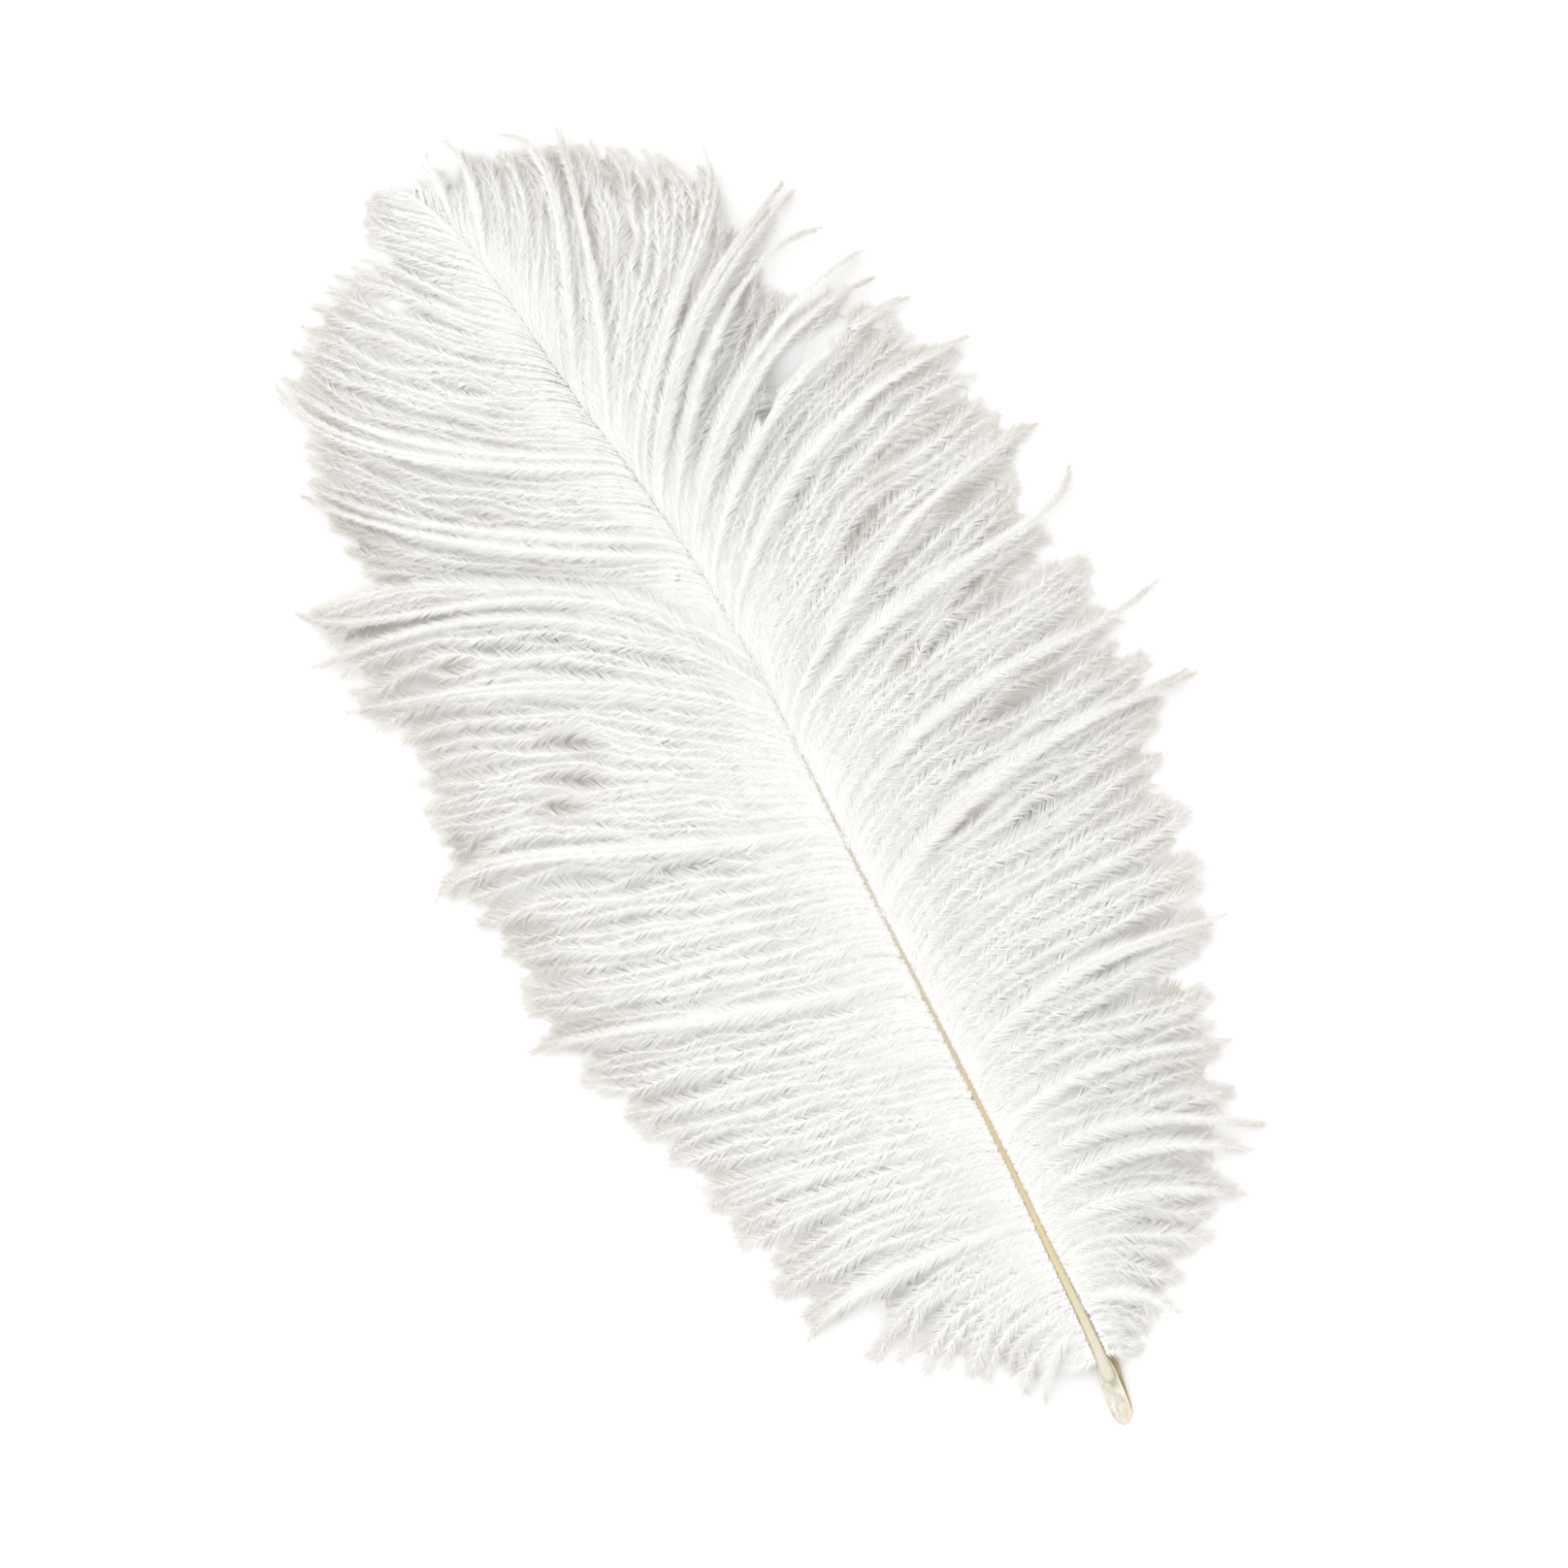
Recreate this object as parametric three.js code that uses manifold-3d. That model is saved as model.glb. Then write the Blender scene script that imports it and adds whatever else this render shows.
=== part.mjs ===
// A white ostrich plume lying on a table, convex side up.
//
// Millimetres. +Z is up and the table is Z = 0. The shaft's two ends lie on a line along Y, quill
// end towards -Y, tip towards +Y, and seen from above the right vane is on +X. The origin is under
// the middle of the plume's box.
//
// A feather grows as one piece, so it is one solid: a shaft, and on each side of it a vane of
// locks. A lock is a bundle of barbs that cling together. It leaves the shaft slanting towards
// the tip, opens outwards, and droops until its end lies on the table.

import * as THREE from "three";
import { mergeVertices } from "three/addons/utils/BufferGeometryUtils.js";
import Module from "manifold-3d";

const wasm = await Module();
wasm.setup();

// ---- driving dimensions -------------------------------------------------------------------

const PLUME_LENGTH = 350; // the quill end to the shaft's tip, along Y
const QUILL_END = new THREE.Vector3(-14.5, -178.5, 0); // where the shaft's route starts
const ARCH = 17; // how high the middle of the shaft stands above the table
const ARCH_SKEW = 0.85; // below 1 the arch's highest place is nearer the quill
const TIP_HEIGHT = 5; // how high the shaft's tip stands
const QUILL_HEIGHT = 2.9; // the quill's thickness, where it lies on the table
const LOCK_THICK = 2.4; // a lock's thickness at its root
const TIP_THICK = 0.9; // and at its tip
const LOCK_CREST = 1.5; // how far a lock rises before it droops
const LOCK_SINK = 0.35; // how far a lock's soft end is pressed flat where it lies on the table
const LOCK_FLARE = 0.15; // a lock's height where it levels out, as a share of its root's
const HANDLE = 0.36; // the length of a lock's curve handles, as a share of its straight length
const LEAVE_SHARE = 0.45; // the angle at which a lock leaves the shaft, as a share of its chord's
const LAP = 0.9; // every second lock lies this much lower than its neighbours
const LOCK_OVERLAP = 1.5; // a lock's width over its listed one, so that neighbours join

// The shaft's route, from the quill end: place along Y, place across X, width.
const SHAFT = [
  [0, 0, 2.4],
  [3, 0.6, 4.5],
  [7, 1.2, 5.1],
  [13, 2.3, 4.5],
  [20, 3.2, 3.5],
  [33, 4.4, 2.9],
  [46, 5.2, 2.5],
  [65, 7.3, 2.2],
  [98, 8.8, 1.9],
  [145, 11.8, 1.6],
  [185, 14.1, 1.4],
  [220, 15.4, 1.3],
  [243, 14.7, 1.2],
  [268, 12.6, 1.1],
  [292, 9.2, 1.0],
  [326, 6.6, 0.9],
  [350, 0, 0.7],
];
const SCOOP_END = 14; // the quill is cut on a slant from its end to here
const CUT_THICK = 0.25; // the thickness left at the very end, as a share of the quill's

// The shaft's section, as shares: its flat foot and flat crown of its width, and the height of
// its widest place of its height.
const FOOT = 0.5;
const CROWN = 0.55;
const WAIST = 0.45;
const TABLE_SIDE = 2 * PLUME_LENGTH; // the block that stands for the table
const TABLE_THICK = 10;

// The locks of each vane, from the tip down: where the lock leaves the shaft, along Y; where its
// tip lies, across X and along Y; its width; and the way its tip points, in degrees turned
// outwards from +Y. All are counted from the quill end.
const LEFT_LOCKS = [
  [343, -13, 353, 8, 60],
  [332, -14, 346, 9, 45],
  [324, -11, 338, 7, 40],
  [312, -20, 345, 6, 30],
  [306, -28, 345, 7, 45],
  [296, -35, 340, 9, 52],
  [287, -43, 333, 9, 55],
  [279, -50, 326, 9, 55],
  [269, -54, 316, 9, 58],
  [259, -56, 306, 9, 60],
  [250, -60, 300, 7, 62],
  [242, -61, 289, 9, 60],
  [235, -59, 279, 9, 55],
  [229, -57, 270, 7, 50],
  [225, -77, 277, 6, 54],
  [219, -75, 267, 9, 68],
  [209, -76, 256, 9, 74],
  [200, -75, 246, 9, 76],
  [190, -70, 235, 9, 76],
  [178, -73, 226, 9, 76],
  [168, -74, 217, 9, 78],
  [158, -75, 209, 8, 80],
  [149, -81, 200, 8, 88],
  [140, -77, 190, 9, 85],
  [131, -75, 179, 9, 85],
  [122, -77, 166, 9, 86],
  [113, -79, 155, 9, 88],
  [104, -74, 140, 9, 90],
  [95, -69, 126, 9, 92],
  [87, -66, 113, 9, 95],
  [79, -63, 100, 9, 98],
  [71, -61, 87, 9, 101],
  [63, -60, 73, 9, 106],
  [55, -57, 59, 9, 115],
  [47, -46, 44, 9, 126],
  [40, -36, 34, 8, 136],
  [33, -26, 27, 8, 145],
  [27, -16, 18, 6, 150],
];
const RIGHT_LOCKS = [
  [346, 2, 355, 5, 8],
  [333, 9, 357, 6, 4],
  [320, 15, 357, 7, 4],
  [310, 20, 355, 7, 4],
  [300, 28, 349, 7, -30],
  [291, 41, 343, 9, 0],
  [282, 54, 332, 9, 10],
  [274, 62, 320, 9, 8],
  [268, 67, 322, 5, 14],
  [263, 80, 304, 8, 58],
  [256, 82, 291, 8, 90],
  [250, 88, 282, 7, 89],
  [243, 90, 266, 9, 105],
  [233, 98, 254, 9, 95],
  [223, 100, 244, 10, 90],
  [213, 97, 234, 11, 92],
  [204, 104, 225, 11, 92],
  [194, 95, 214, 12, 90],
  [187, 106, 212, 3, 50],
  [181, 94, 201, 12, 85],
  [171, 101, 188, 12, 90],
  [163, 110, 177, 4, 82],
  [160, 98, 175, 12, 85],
  [150, 101, 162, 12, 75],
  [141, 98, 149, 11, 85],
  [131, 91, 136, 11, 86],
  [121, 91, 123, 11, 90],
  [110, 86, 110, 11, 95],
  [99, 80, 96, 11, 95],
  [88, 73, 81, 11, 97],
  [78, 68, 69, 9, 100],
  [68, 64, 57, 9, 106],
  [59, 58, 46, 9, 113],
  [50, 53, 35, 8, 118],
  [42, 43, 29, 8, 122],
  [34, 31, 24, 8, 130],
  [27, 19, 17, 7, 142],
  [22, 11, 11, 6, 150],
];

// A lock's width at places along its length, each as a share: of its length, of its widest.
const LOCK_FORM = [
  [0, 0.5],
  [0.2, 0.78],
  [0.45, 0.95],
  [0.72, 1],
  [0.9, 0.68],
  [1, 0.1],
];

// ---- helpers ------------------------------------------------------------------------------

const UP = new THREE.Vector3(0, 0, 1);

// The value at x of a line through points [x, value].
function between(points, x, column = 1) {
  const after = points.findIndex((p) => p[0] >= x);
  if (after < 0) return points.at(-1)[column];
  if (after === 0) return points[0][column];
  const [low, high] = [points[after - 1], points[after]];
  const share = (x - low[0]) / (high[0] - low[0]);
  return low[column] + share * (high[column] - low[column]);
}

// How high the shaft's middle stands at a place along Y: low at both ends, an arch between.
function shaftHeight(y) {
  const share = THREE.MathUtils.clamp(y / PLUME_LENGTH, 0, 1);
  const line = THREE.MathUtils.lerp(QUILL_HEIGHT / 2, TIP_HEIGHT, share);
  const bow = ARCH - (QUILL_HEIGHT / 2 + TIP_HEIGHT) / 2;
  return line + bow * Math.sin(Math.PI * share ** ARCH_SKEW);
}

function shaftPoint(y) {
  return new THREE.Vector3(between(SHAFT, y), y, shaftHeight(y));
}

// A closed solid through rings of points. The rings have equal counts and turn clockwise
// when seen from beyond the last one.
function loft(rings) {
  const count = rings[0].length;
  const vertProperties = new Float32Array(rings.flat().flatMap((p) => [p.x, p.y, p.z]));
  const triVerts = [];
  for (let i = 0; i + 1 < rings.length; i++) {
    for (let j = 0; j < count; j++) {
      const [a, b] = [i * count + j, i * count + ((j + 1) % count)];
      triVerts.push(a, b + count, b, a, a + count, b + count);
    }
  }
  const last = (rings.length - 1) * count;
  for (let j = 1; j + 1 < count; j++) {
    triVerts.push(0, j, j + 1);
    triVerts.push(last, last + j + 1, last + j);
  }
  const mesh = new wasm.Mesh({
    numProp: 3,
    vertProperties,
    triVerts: new Uint32Array(triVerts),
  });
  return new wasm.Manifold(mesh);
}

// A ring across a route: points [across, up] set on the route's own axes at a point of it.
function ringAt(centre, along, outline) {
  const side = new THREE.Vector3().crossVectors(along, UP).normalize();
  const up = new THREE.Vector3().crossVectors(side, along).normalize();
  return outline.map(([a, b]) =>
    centre.clone().addScaledVector(side, a).addScaledVector(up, b),
  );
}

// ---- the shaft ----------------------------------------------------------------------------

// A shaft is rounded above and flat below, and as high as it is wide. Near its end the quill is
// cut on a slant, so that it thins to a tongue that lies on the table.
function shaftSolid() {
  const rings = SHAFT.map(([y, , width], i) => {
    const before = shaftPoint(SHAFT[Math.max(i - 1, 0)][0]);
    const after = shaftPoint(SHAFT[Math.min(i + 1, SHAFT.length - 1)][0]);
    const along = after.sub(before).setZ(0).normalize();
    const half = width / 2;
    const tall = Math.min(width, QUILL_HEIGHT);
    const cut = THREE.MathUtils.clamp(y / SCOOP_END, CUT_THICK, 1);
    const base = shaftHeight(y) - tall / 2;
    const low = y < SCOOP_END ? 0 : base;
    const top = low + tall * cut;
    const waist = THREE.MathUtils.lerp(low, top, WAIST);
    const centre = shaftPoint(y).setZ(0);
    return ringAt(centre, along, [
      [half * FOOT, low],
      [half, waist],
      [half * CROWN, top],
      [-half * CROWN, top],
      [-half, waist],
      [-half * FOOT, low],
    ]);
  });
  return loft(rings);
}

// ---- the locks ----------------------------------------------------------------------------

function turned(angle, side) {
  const radians = THREE.MathUtils.degToRad(angle);
  return new THREE.Vector3(side * Math.sin(radians), Math.cos(radians), 0);
}

// The middle line of a lock. Seen from above it starts near the shaft's own direction and turns
// to the way its tip points. Seen from the side it rises a little, then droops to the table.
function lockRoute([rootY, tipX, tipY, , tipAngle], side, lower) {
  const root = shaftPoint(rootY);
  root.z -= lower;
  const tip = new THREE.Vector3(tipX, tipY, TIP_THICK / 2 - LOCK_SINK);
  const reach = Math.hypot(tip.x - root.x, tip.y - root.y);
  const chord = THREE.MathUtils.radToDeg(Math.atan2(side * (tip.x - root.x), tip.y - root.y));
  const handle = reach * HANDLE;
  const leave = root.clone().addScaledVector(turned(chord * LEAVE_SHARE, side), handle);
  leave.z += LOCK_CREST;
  const arrive = tip.clone().addScaledVector(turned(tipAngle, side), -handle);
  arrive.z = root.z * LOCK_FLARE;
  return new THREE.CubicBezierCurve3(root, leave, arrive, tip);
}

// A lock is a low ridge: flat below, with its crest along the middle.
function lockSolid(lock, side, index) {
  const lower = index % 2 ? LAP : 0;
  const route = lockRoute(lock, side, lower);
  const rings = LOCK_FORM.map(([share, form]) => {
    const half = (lock[3] * LOCK_OVERLAP * form) / 2;
    const thick = THREE.MathUtils.lerp(LOCK_THICK, TIP_THICK, share);
    return ringAt(route.getPoint(share), route.getTangent(share), [
      [half, -thick / 2],
      [0, thick / 2],
      [-half, -thick / 2],
    ]);
  });
  return loft(rings);
}

// ---- the plume ----------------------------------------------------------------------------

// A block whose top is the table. What would reach into it is pressed flat on the table instead.
function tableBlock() {
  const box = new THREE.BoxGeometry(TABLE_SIDE, TABLE_SIDE, TABLE_THICK);
  box.translate(0, PLUME_LENGTH / 2, -TABLE_THICK / 2);
  box.deleteAttribute("normal");
  box.deleteAttribute("uv");
  const { attributes, index } = mergeVertices(box);
  const mesh = new wasm.Mesh({
    numProp: 3,
    vertProperties: attributes.position.array,
    triVerts: new Uint32Array(index.array),
  });
  return new wasm.Manifold(mesh);
}

function feather() {
  let solid = shaftSolid();
  LEFT_LOCKS.forEach((lock, i) => {
    solid = solid.add(lockSolid(lock, -1, i));
  });
  RIGHT_LOCKS.forEach((lock, i) => {
    solid = solid.add(lockSolid(lock, 1, i));
  });
  solid = solid.subtract(tableBlock());
  // Crossing locks can seal a crumb of air between them. The outer skin alone is kept.
  const [skin] = solid.decompose().sort((a, b) => b.volume() - a.volume());
  const { vertProperties, triVerts } = skin.getMesh();
  const geometry = new THREE.BufferGeometry()
    .setAttribute("position", new THREE.BufferAttribute(vertProperties, 3))
    .setIndex(new THREE.BufferAttribute(triVerts, 1));
  const keratin = new THREE.MeshStandardMaterial({
    color: 0xf0eee8,
    roughness: 0.85,
    metalness: 0,
  });
  const mesh = new THREE.Mesh(geometry, keratin);
  mesh.name = "feather";
  mesh.position.copy(QUILL_END);
  return mesh;
}

const plume = new THREE.Group();
plume.add(feather());

export default plume;
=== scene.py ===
# %% [markdown]
# # A white ostrich plume
#
# The plume is one feather: a horn shaft that tapers from the cut quill to a thread, and on each
# side of it a vane. An ostrich's barbs have no hooks, so they don't zip together into a blade.
# Each barb is a plume of its own, a thin rib with hundreds of soft barbules, and the barbs cling
# together in locks that droop and lie on the table.
#
# Hair curves or particles would be the quick way to make this. They are lost when a model is
# exported, so every rib and every barbule here is real mesh, worked out with numpy and written
# into a few large meshes.

import math

import bpy
import numpy as np
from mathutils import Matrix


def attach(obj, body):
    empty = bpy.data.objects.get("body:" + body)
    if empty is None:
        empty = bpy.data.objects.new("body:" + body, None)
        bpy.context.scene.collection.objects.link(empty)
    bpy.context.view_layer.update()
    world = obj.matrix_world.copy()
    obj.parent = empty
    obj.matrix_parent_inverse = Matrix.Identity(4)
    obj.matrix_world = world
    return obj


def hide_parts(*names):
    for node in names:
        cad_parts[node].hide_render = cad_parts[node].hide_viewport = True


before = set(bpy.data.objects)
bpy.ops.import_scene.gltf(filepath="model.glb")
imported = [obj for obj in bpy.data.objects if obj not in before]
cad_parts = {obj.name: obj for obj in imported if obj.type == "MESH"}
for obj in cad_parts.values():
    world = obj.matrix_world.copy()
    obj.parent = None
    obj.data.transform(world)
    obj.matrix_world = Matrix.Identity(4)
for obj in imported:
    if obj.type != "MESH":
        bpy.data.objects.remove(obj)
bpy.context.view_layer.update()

# %% [markdown]
# ## Where things are
#
# The solid was laid out in millimetres, counted from the quill's end, with the shaft's two ends
# on a line along Y. The same numbers are used here, and one function turns them into the frame's
# metres. Keeping one way of counting for both means that nothing has to be fitted afterwards.

# %% Driving sizes
MM = 0.001
PLUME_LENGTH = 350.0
QUILL_END = np.array([-14.5, -178.5, 0.0])
ARCH = 17.0
ARCH_SKEW = 0.85
TIP_HEIGHT = 5.0
QUILL_HEIGHT = 2.9
LOCK_CREST = 1.5
LOCK_FLARE = 0.15
SEED = 7


def to_frame(points):
    """Millimetres counted from the quill's end, as metres in the frame."""
    return (np.asarray(points, float) + QUILL_END) * MM


print("the quill's end is at", to_frame([0, 0, 0]))

# %% [markdown]
# ## The shaft's route
#
# Seen from above the shaft bends gently to the right and back. Seen from the side it is an arch:
# both ends lie low and the middle stands well clear of the table. A handful of stations is
# enough if the line between them is smooth, so the stations are joined by cubic pieces whose
# slopes come from their neighbours, and not by straight ones, which would show as corners.

# %% Shaft stations: along Y, across X, width
SHAFT = np.array([
    [0, 0.0, 2.4],
    [20, 3.2, 3.45],
    [33, 4.4, 2.9],
    [46, 5.3, 2.45],
    [65, 6.9, 1.9],
    [98, 9.0, 1.5],
    [125, 10.5, 1.15],
    [150, 11.8, 0.95],
    [185, 13.9, 0.75],
    [210, 15.1, 0.65],
    [235, 15.0, 0.58],
    [258, 13.3, 0.52],
    [280, 10.7, 0.48],
    [300, 8.9, 0.44],
    [320, 7.4, 0.4],
    [336, 5.2, 0.36],
    [350, 0.0, 0.25],
])


def smooth_line(stations, x, column):
    """A smooth curve through the stations' column, read at x."""
    xs, ys = stations[:, 0], stations[:, column]
    slopes = np.gradient(ys, xs)
    i = np.clip(np.searchsorted(xs, x, side="right") - 1, 0, len(xs) - 2)
    step = xs[i + 1] - xs[i]
    t = np.clip((x - xs[i]) / step, 0, 1)
    from_here = (2 * t**3 - 3 * t**2 + 1) * ys[i] + (t**3 - 2 * t**2 + t) * step * slopes[i]
    to_next = (3 * t**2 - 2 * t**3) * ys[i + 1] + (t**3 - t**2) * step * slopes[i + 1]
    return from_here + to_next


def shaft_height(y):
    """How high the shaft's middle stands above the table."""
    share = np.clip(y / PLUME_LENGTH, 0, 1)
    line = QUILL_HEIGHT / 2 + (TIP_HEIGHT - QUILL_HEIGHT / 2) * share
    bow = ARCH - (QUILL_HEIGHT / 2 + TIP_HEIGHT) / 2
    return line + bow * np.sin(np.pi * share**ARCH_SKEW)


def shaft_point(y):
    """The shaft's middle line at y, one row for each y."""
    y = np.asarray(y, float)
    return np.stack([smooth_line(SHAFT, y, 1), y, shaft_height(y)], axis=-1)


print("highest place of the shaft:", round(float(shaft_height(np.arange(350)).max()), 1), "mm")

# %% [markdown]
# ## The locks
#
# The plume has about eighty locks. The solid has them in a plainer form, and both end on the same
# outline. Each row says where a lock leaves the shaft, where its tip lies, and the way its tip
# points, in degrees turned outwards from +Y. They are the skeleton that the barbs follow, so the
# fluff ends where the solid ends.

# %% Left locks: root along Y, tip across X, tip along Y, tip's angle
LEFT_LOCKS = np.array([
    [347, -4, 355, 32],
    [340, -8, 356, 34],
    [333, -11, 355, 36],
    [326, -13, 352, 37],
    [319, -15, 348, 37],
    [315, -12, 339, 36],
    [311, -13, 336, 36],
    [307, -20, 344, 40],
    [303, -28, 345, 43],
    [297, -31, 342, 38],
    [291, -36, 340, 34],
    [282, -41, 337, 33],
    [274, -45, 332, 33],
    [266, -48, 327, 33],
    [258, -51, 321, 33],
    [250, -53, 314, 34],
    [243, -56, 306, 35],
    [236, -58, 299, 35],
    [230, -59, 291, 36],
    [224, -58, 281, 38],
    [217, -55, 272, 44],
    [210, -76, 275, 76],
    [203, -74, 267, 86],
    [196, -76, 256, 86],
    [189, -75, 246, 80],
    [182, -70, 235, 84],
    [176, -73, 226, 80],
    [171, -74, 217, 78],
    [167, -75, 209, 84],
    [162, -81, 200, 104],
    [154, -77, 190, 72],
    [145, -75, 179, 66],
    [134, -77, 166, 64],
    [123, -79, 155, 68],
    [111, -74, 140, 72],
    [101, -69, 126, 74],
    [92, -66, 113, 78],
    [82, -63, 100, 82],
    [73, -61, 87, 88],
    [64, -60, 73, 96],
    [57, -57, 59, 108],
    [51, -46, 44, 124],
    [45, -36, 34, 134],
    [38, -26, 27, 142],
    [29, -16, 18, 150],
], float)
print(len(LEFT_LOCKS), "locks on the left")

# %% Right locks, with the same columns
RIGHT_LOCKS = np.array([
    [348, 2, 355, 10],
    [341, 9, 357, 24],
    [328, 15, 357, -8],
    [316, 20, 355, 14],
    [304, 24, 352, -8],
    [292, 27, 349, -30],
    [281, 30, 348, -45],
    [272, 41, 343, 0],
    [268, 48, 338, -4],
    [264, 54, 332, -8],
    [260, 59, 327, -4],
    [256, 66, 321, -12],
    [250, 76, 303, 64],
    [243, 63, 292, 42],
    [238, 68, 283, 58],
    [233, 82, 278, 66],
    [228, 90, 268, 97],
    [221, 88, 261, 92],
    [214, 98, 252, 92],
    [208, 100, 244, 92],
    [202, 97, 234, 93],
    [195, 104, 225, 88],
    [184, 95, 214, 80],
    [174, 94, 201, 84],
    [164, 101, 188, 88],
    [154, 98, 175, 86],
    [145, 101, 162, 82],
    [135, 98, 149, 85],
    [124, 91, 136, 88],
    [114, 91, 123, 90],
    [104, 86, 110, 93],
    [94, 80, 96, 94],
    [84, 73, 81, 96],
    [75, 68, 69, 100],
    [66, 64, 57, 106],
    [58, 58, 46, 113],
    [51, 53, 35, 118],
    [44, 43, 29, 122],
    [37, 31, 24, 130],
    [29, 19, 17, 142],
    [22, 11, 11, 150],
], float)
print(len(RIGHT_LOCKS), "locks on the right")

# %% [markdown]
# The way the barbs leave the shaft changes along it. Near the tip they hug the shaft, and near
# the quill they stand away from it. The last column says for how much of the way a barb keeps
# its first course. On the upper left it soon turns towards the tip. Just below the parting on
# the left, the barbs set off along the shaft, keep to it for long, and sweep over their
# neighbours, so they lie higher.

# %% Leaving tables: root along Y, angle outwards from +Y, share of the way
LEFT_LEAVING = np.array([
    [20, 96, 0.36],
    [40, 86, 0.36],
    [60, 80, 0.36],
    [90, 76, 0.36],
    [130, 74, 0.36],
    [165, 69, 0.36],
    [178, 60, 0.4],
    [190, 44, 0.46],
    [203, 28, 0.5],
    [212, 34, 0.47],
    [221, 57, 0.3],
    [232, 60, 0.24],
    [250, 61, 0.21],
    [295, 62, 0.21],
    [309, 55, 0.25],
    [322, 45, 0.3],
    [335, 36, 0.34],
    [350, 28, 0.36],
], float)
RIGHT_LEAVING = np.array([
    [20, 110, 0.36],
    [35, 90, 0.36],
    [50, 80, 0.36],
    [70, 73, 0.36],
    [110, 67, 0.36],
    [150, 61, 0.36],
    [190, 53, 0.36],
    [210, 46, 0.36],
    [230, 39, 0.38],
    [250, 33, 0.4],
    [270, 29, 0.4],
    [330, 27, 0.36],
    [350, 15, 0.36],
], float)
BOTH_SHARES = 0.72
SWEEP_AT, SWEEP_WIDE, SWEEP_LIFT, SWEEP_FROM = 203.0, 11.0, 1.4, (8, 35)
print("the barbs that sweep over their neighbours leave the shaft around", SWEEP_AT, "mm")

# %% [markdown]
# A few single barbs have slipped out of their locks. They reach past the edge as thin curled
# wisps, and they do much for a feather's look, because a perfectly kept edge reads as paper.

# %% Wisp tables: root along Y, tip across X, tip along Y, tip's angle
LEFT_WISPS = np.array([
    [262, -53, 328, 6],
    [266, -50, 330, 14],
    [236, -61, 301, 34],
    [240, -58, 303, 30],
    [207, -78, 278, 34],
    [199, -79, 262, 84],
    [190, -78, 249, 66],
    [161, -82, 198, 112],
    [120, -81, 153, 84],
    [56, -59, 56, 124],
    [27, -14, 15, 152],
], float)
RIGHT_WISPS = np.array([
    [336, 9, 359, 30],
    [323, 14, 359, -14],
    [284, 27, 352, -60],
    [270, 40, 347, 18],
    [259, 63, 319, 2],
    [256, 68, 324, 6],
    [251, 82, 308, 66],
    [249, 82, 304, 70],
    [243, 83, 293, 112],
    [236, 89, 283, 86],
    [234, 88, 276, 100],
    [226, 93, 268, 96],
    [215, 102, 251, 96],
    [188, 106, 225, 90],
    [183, 108, 213, 34],
    [158, 112, 177, 70],
    [139, 107, 154, 88],
    [137, 108, 152, 94],
    [93, 84, 96, 100],
    [76, 72, 69, 106],
    [64, 66, 47, 118],
    [57, 62, 42, 126],
    [49, 55, 34, 122],
    [31, 26, 17, 150],
], float)
print(len(LEFT_WISPS) + len(RIGHT_WISPS), "wisps")

# %% [markdown]
# Here and there the locks have been parted, by a finger or by lying in a box, and one can see
# down between them to barbs in the shade. Each row is the middle of a parting, the way it runs,
# half its length and how far each side is pushed away. The holes are written the same way. They
# go right through to the table, and three of them in a row make the long curved slot in the
# upper right vane.

# %% Parting tables: across X, along Y, angle, half length, push
LEFT_PARTINGS = np.array([
    [-33, 214, 50, 7, 2.8],
    [-36, 205, 56, 7, 2.7],
    [-43, 201, 60, 5, 2.5],
    [-58, 197, 68, 12, 1.9],
    [-70, 207, 90, 4, 2.2],
    [-65, 180, 64, 6, 2.5],
    [-66, 167, 62, 4, 2.2],
    [-61, 149, 64, 6, 2.0],
    [-35, 336, 35, 4, 2.3],
    [-25, 321, 35, 4, 2.1],
    [-14, 305, 56, 7, 1.8],
    [-51, 287, 33, 8, 2.6],
    [-54, 283, 33, 6, 2.3],
    [-24, 273, 45, 5, 1.9],
    [-68, 253, 80, 6, 2.5],
    [-61, 246, 72, 6, 2.0],
    [-50, 245, 66, 5, 2.2],
    [-58, 263, 76, 11, 1.8],
], float)
RIGHT_PARTINGS = np.array([
    [35, 333, -10, 4, 1.6],
    [33, 320, 16, 9, 2.2],
    [45, 329, 5, 6, 2.0],
    [49, 323, 0, 5, 1.7],
    [41, 314, 20, 4, 1.6],
    [57, 306, -15, 4, 1.6],
    [43, 291, 48, 5, 1.8],
    [56, 287, 45, 5, 2.0],
    [70, 279, 60, 4, 1.7],
    [55, 224, 66, 11, 2.7],
    [60, 217, 72, 11, 2.3],
    [73, 236, 80, 13, 2.0],
    [78, 219, 76, 6, 1.8],
    [80, 194, 74, 8, 2.5],
    [70, 197, 78, 6, 2.0],
    [47, 191, 68, 5, 1.7],
    [65, 169, 83, 11, 2.5],
    [91, 169, 85, 4, 1.7],
    [38, 149, 80, 7, 1.7],
    [56, 143, 78, 5, 1.8],
    [63, 88, 94, 5, 2.0],
    [50, 102, 85, 5, 1.7],
    [66, 103, 94, 6, 1.8],
], float)
LEFT_HOLES = np.array([
    [-17.5, 330, 62, 4, 1.7],
], float)
RIGHT_HOLES = np.array([
    [50, 262, 47, 6, 2.2],
    [60, 268, 75, 8, 4.2],
    [69, 268, 95, 8, 4.0],
], float)
print(len(LEFT_PARTINGS) + len(RIGHT_PARTINGS), "partings")
print(len(LEFT_HOLES) + len(RIGHT_HOLES), "holes")

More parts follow.
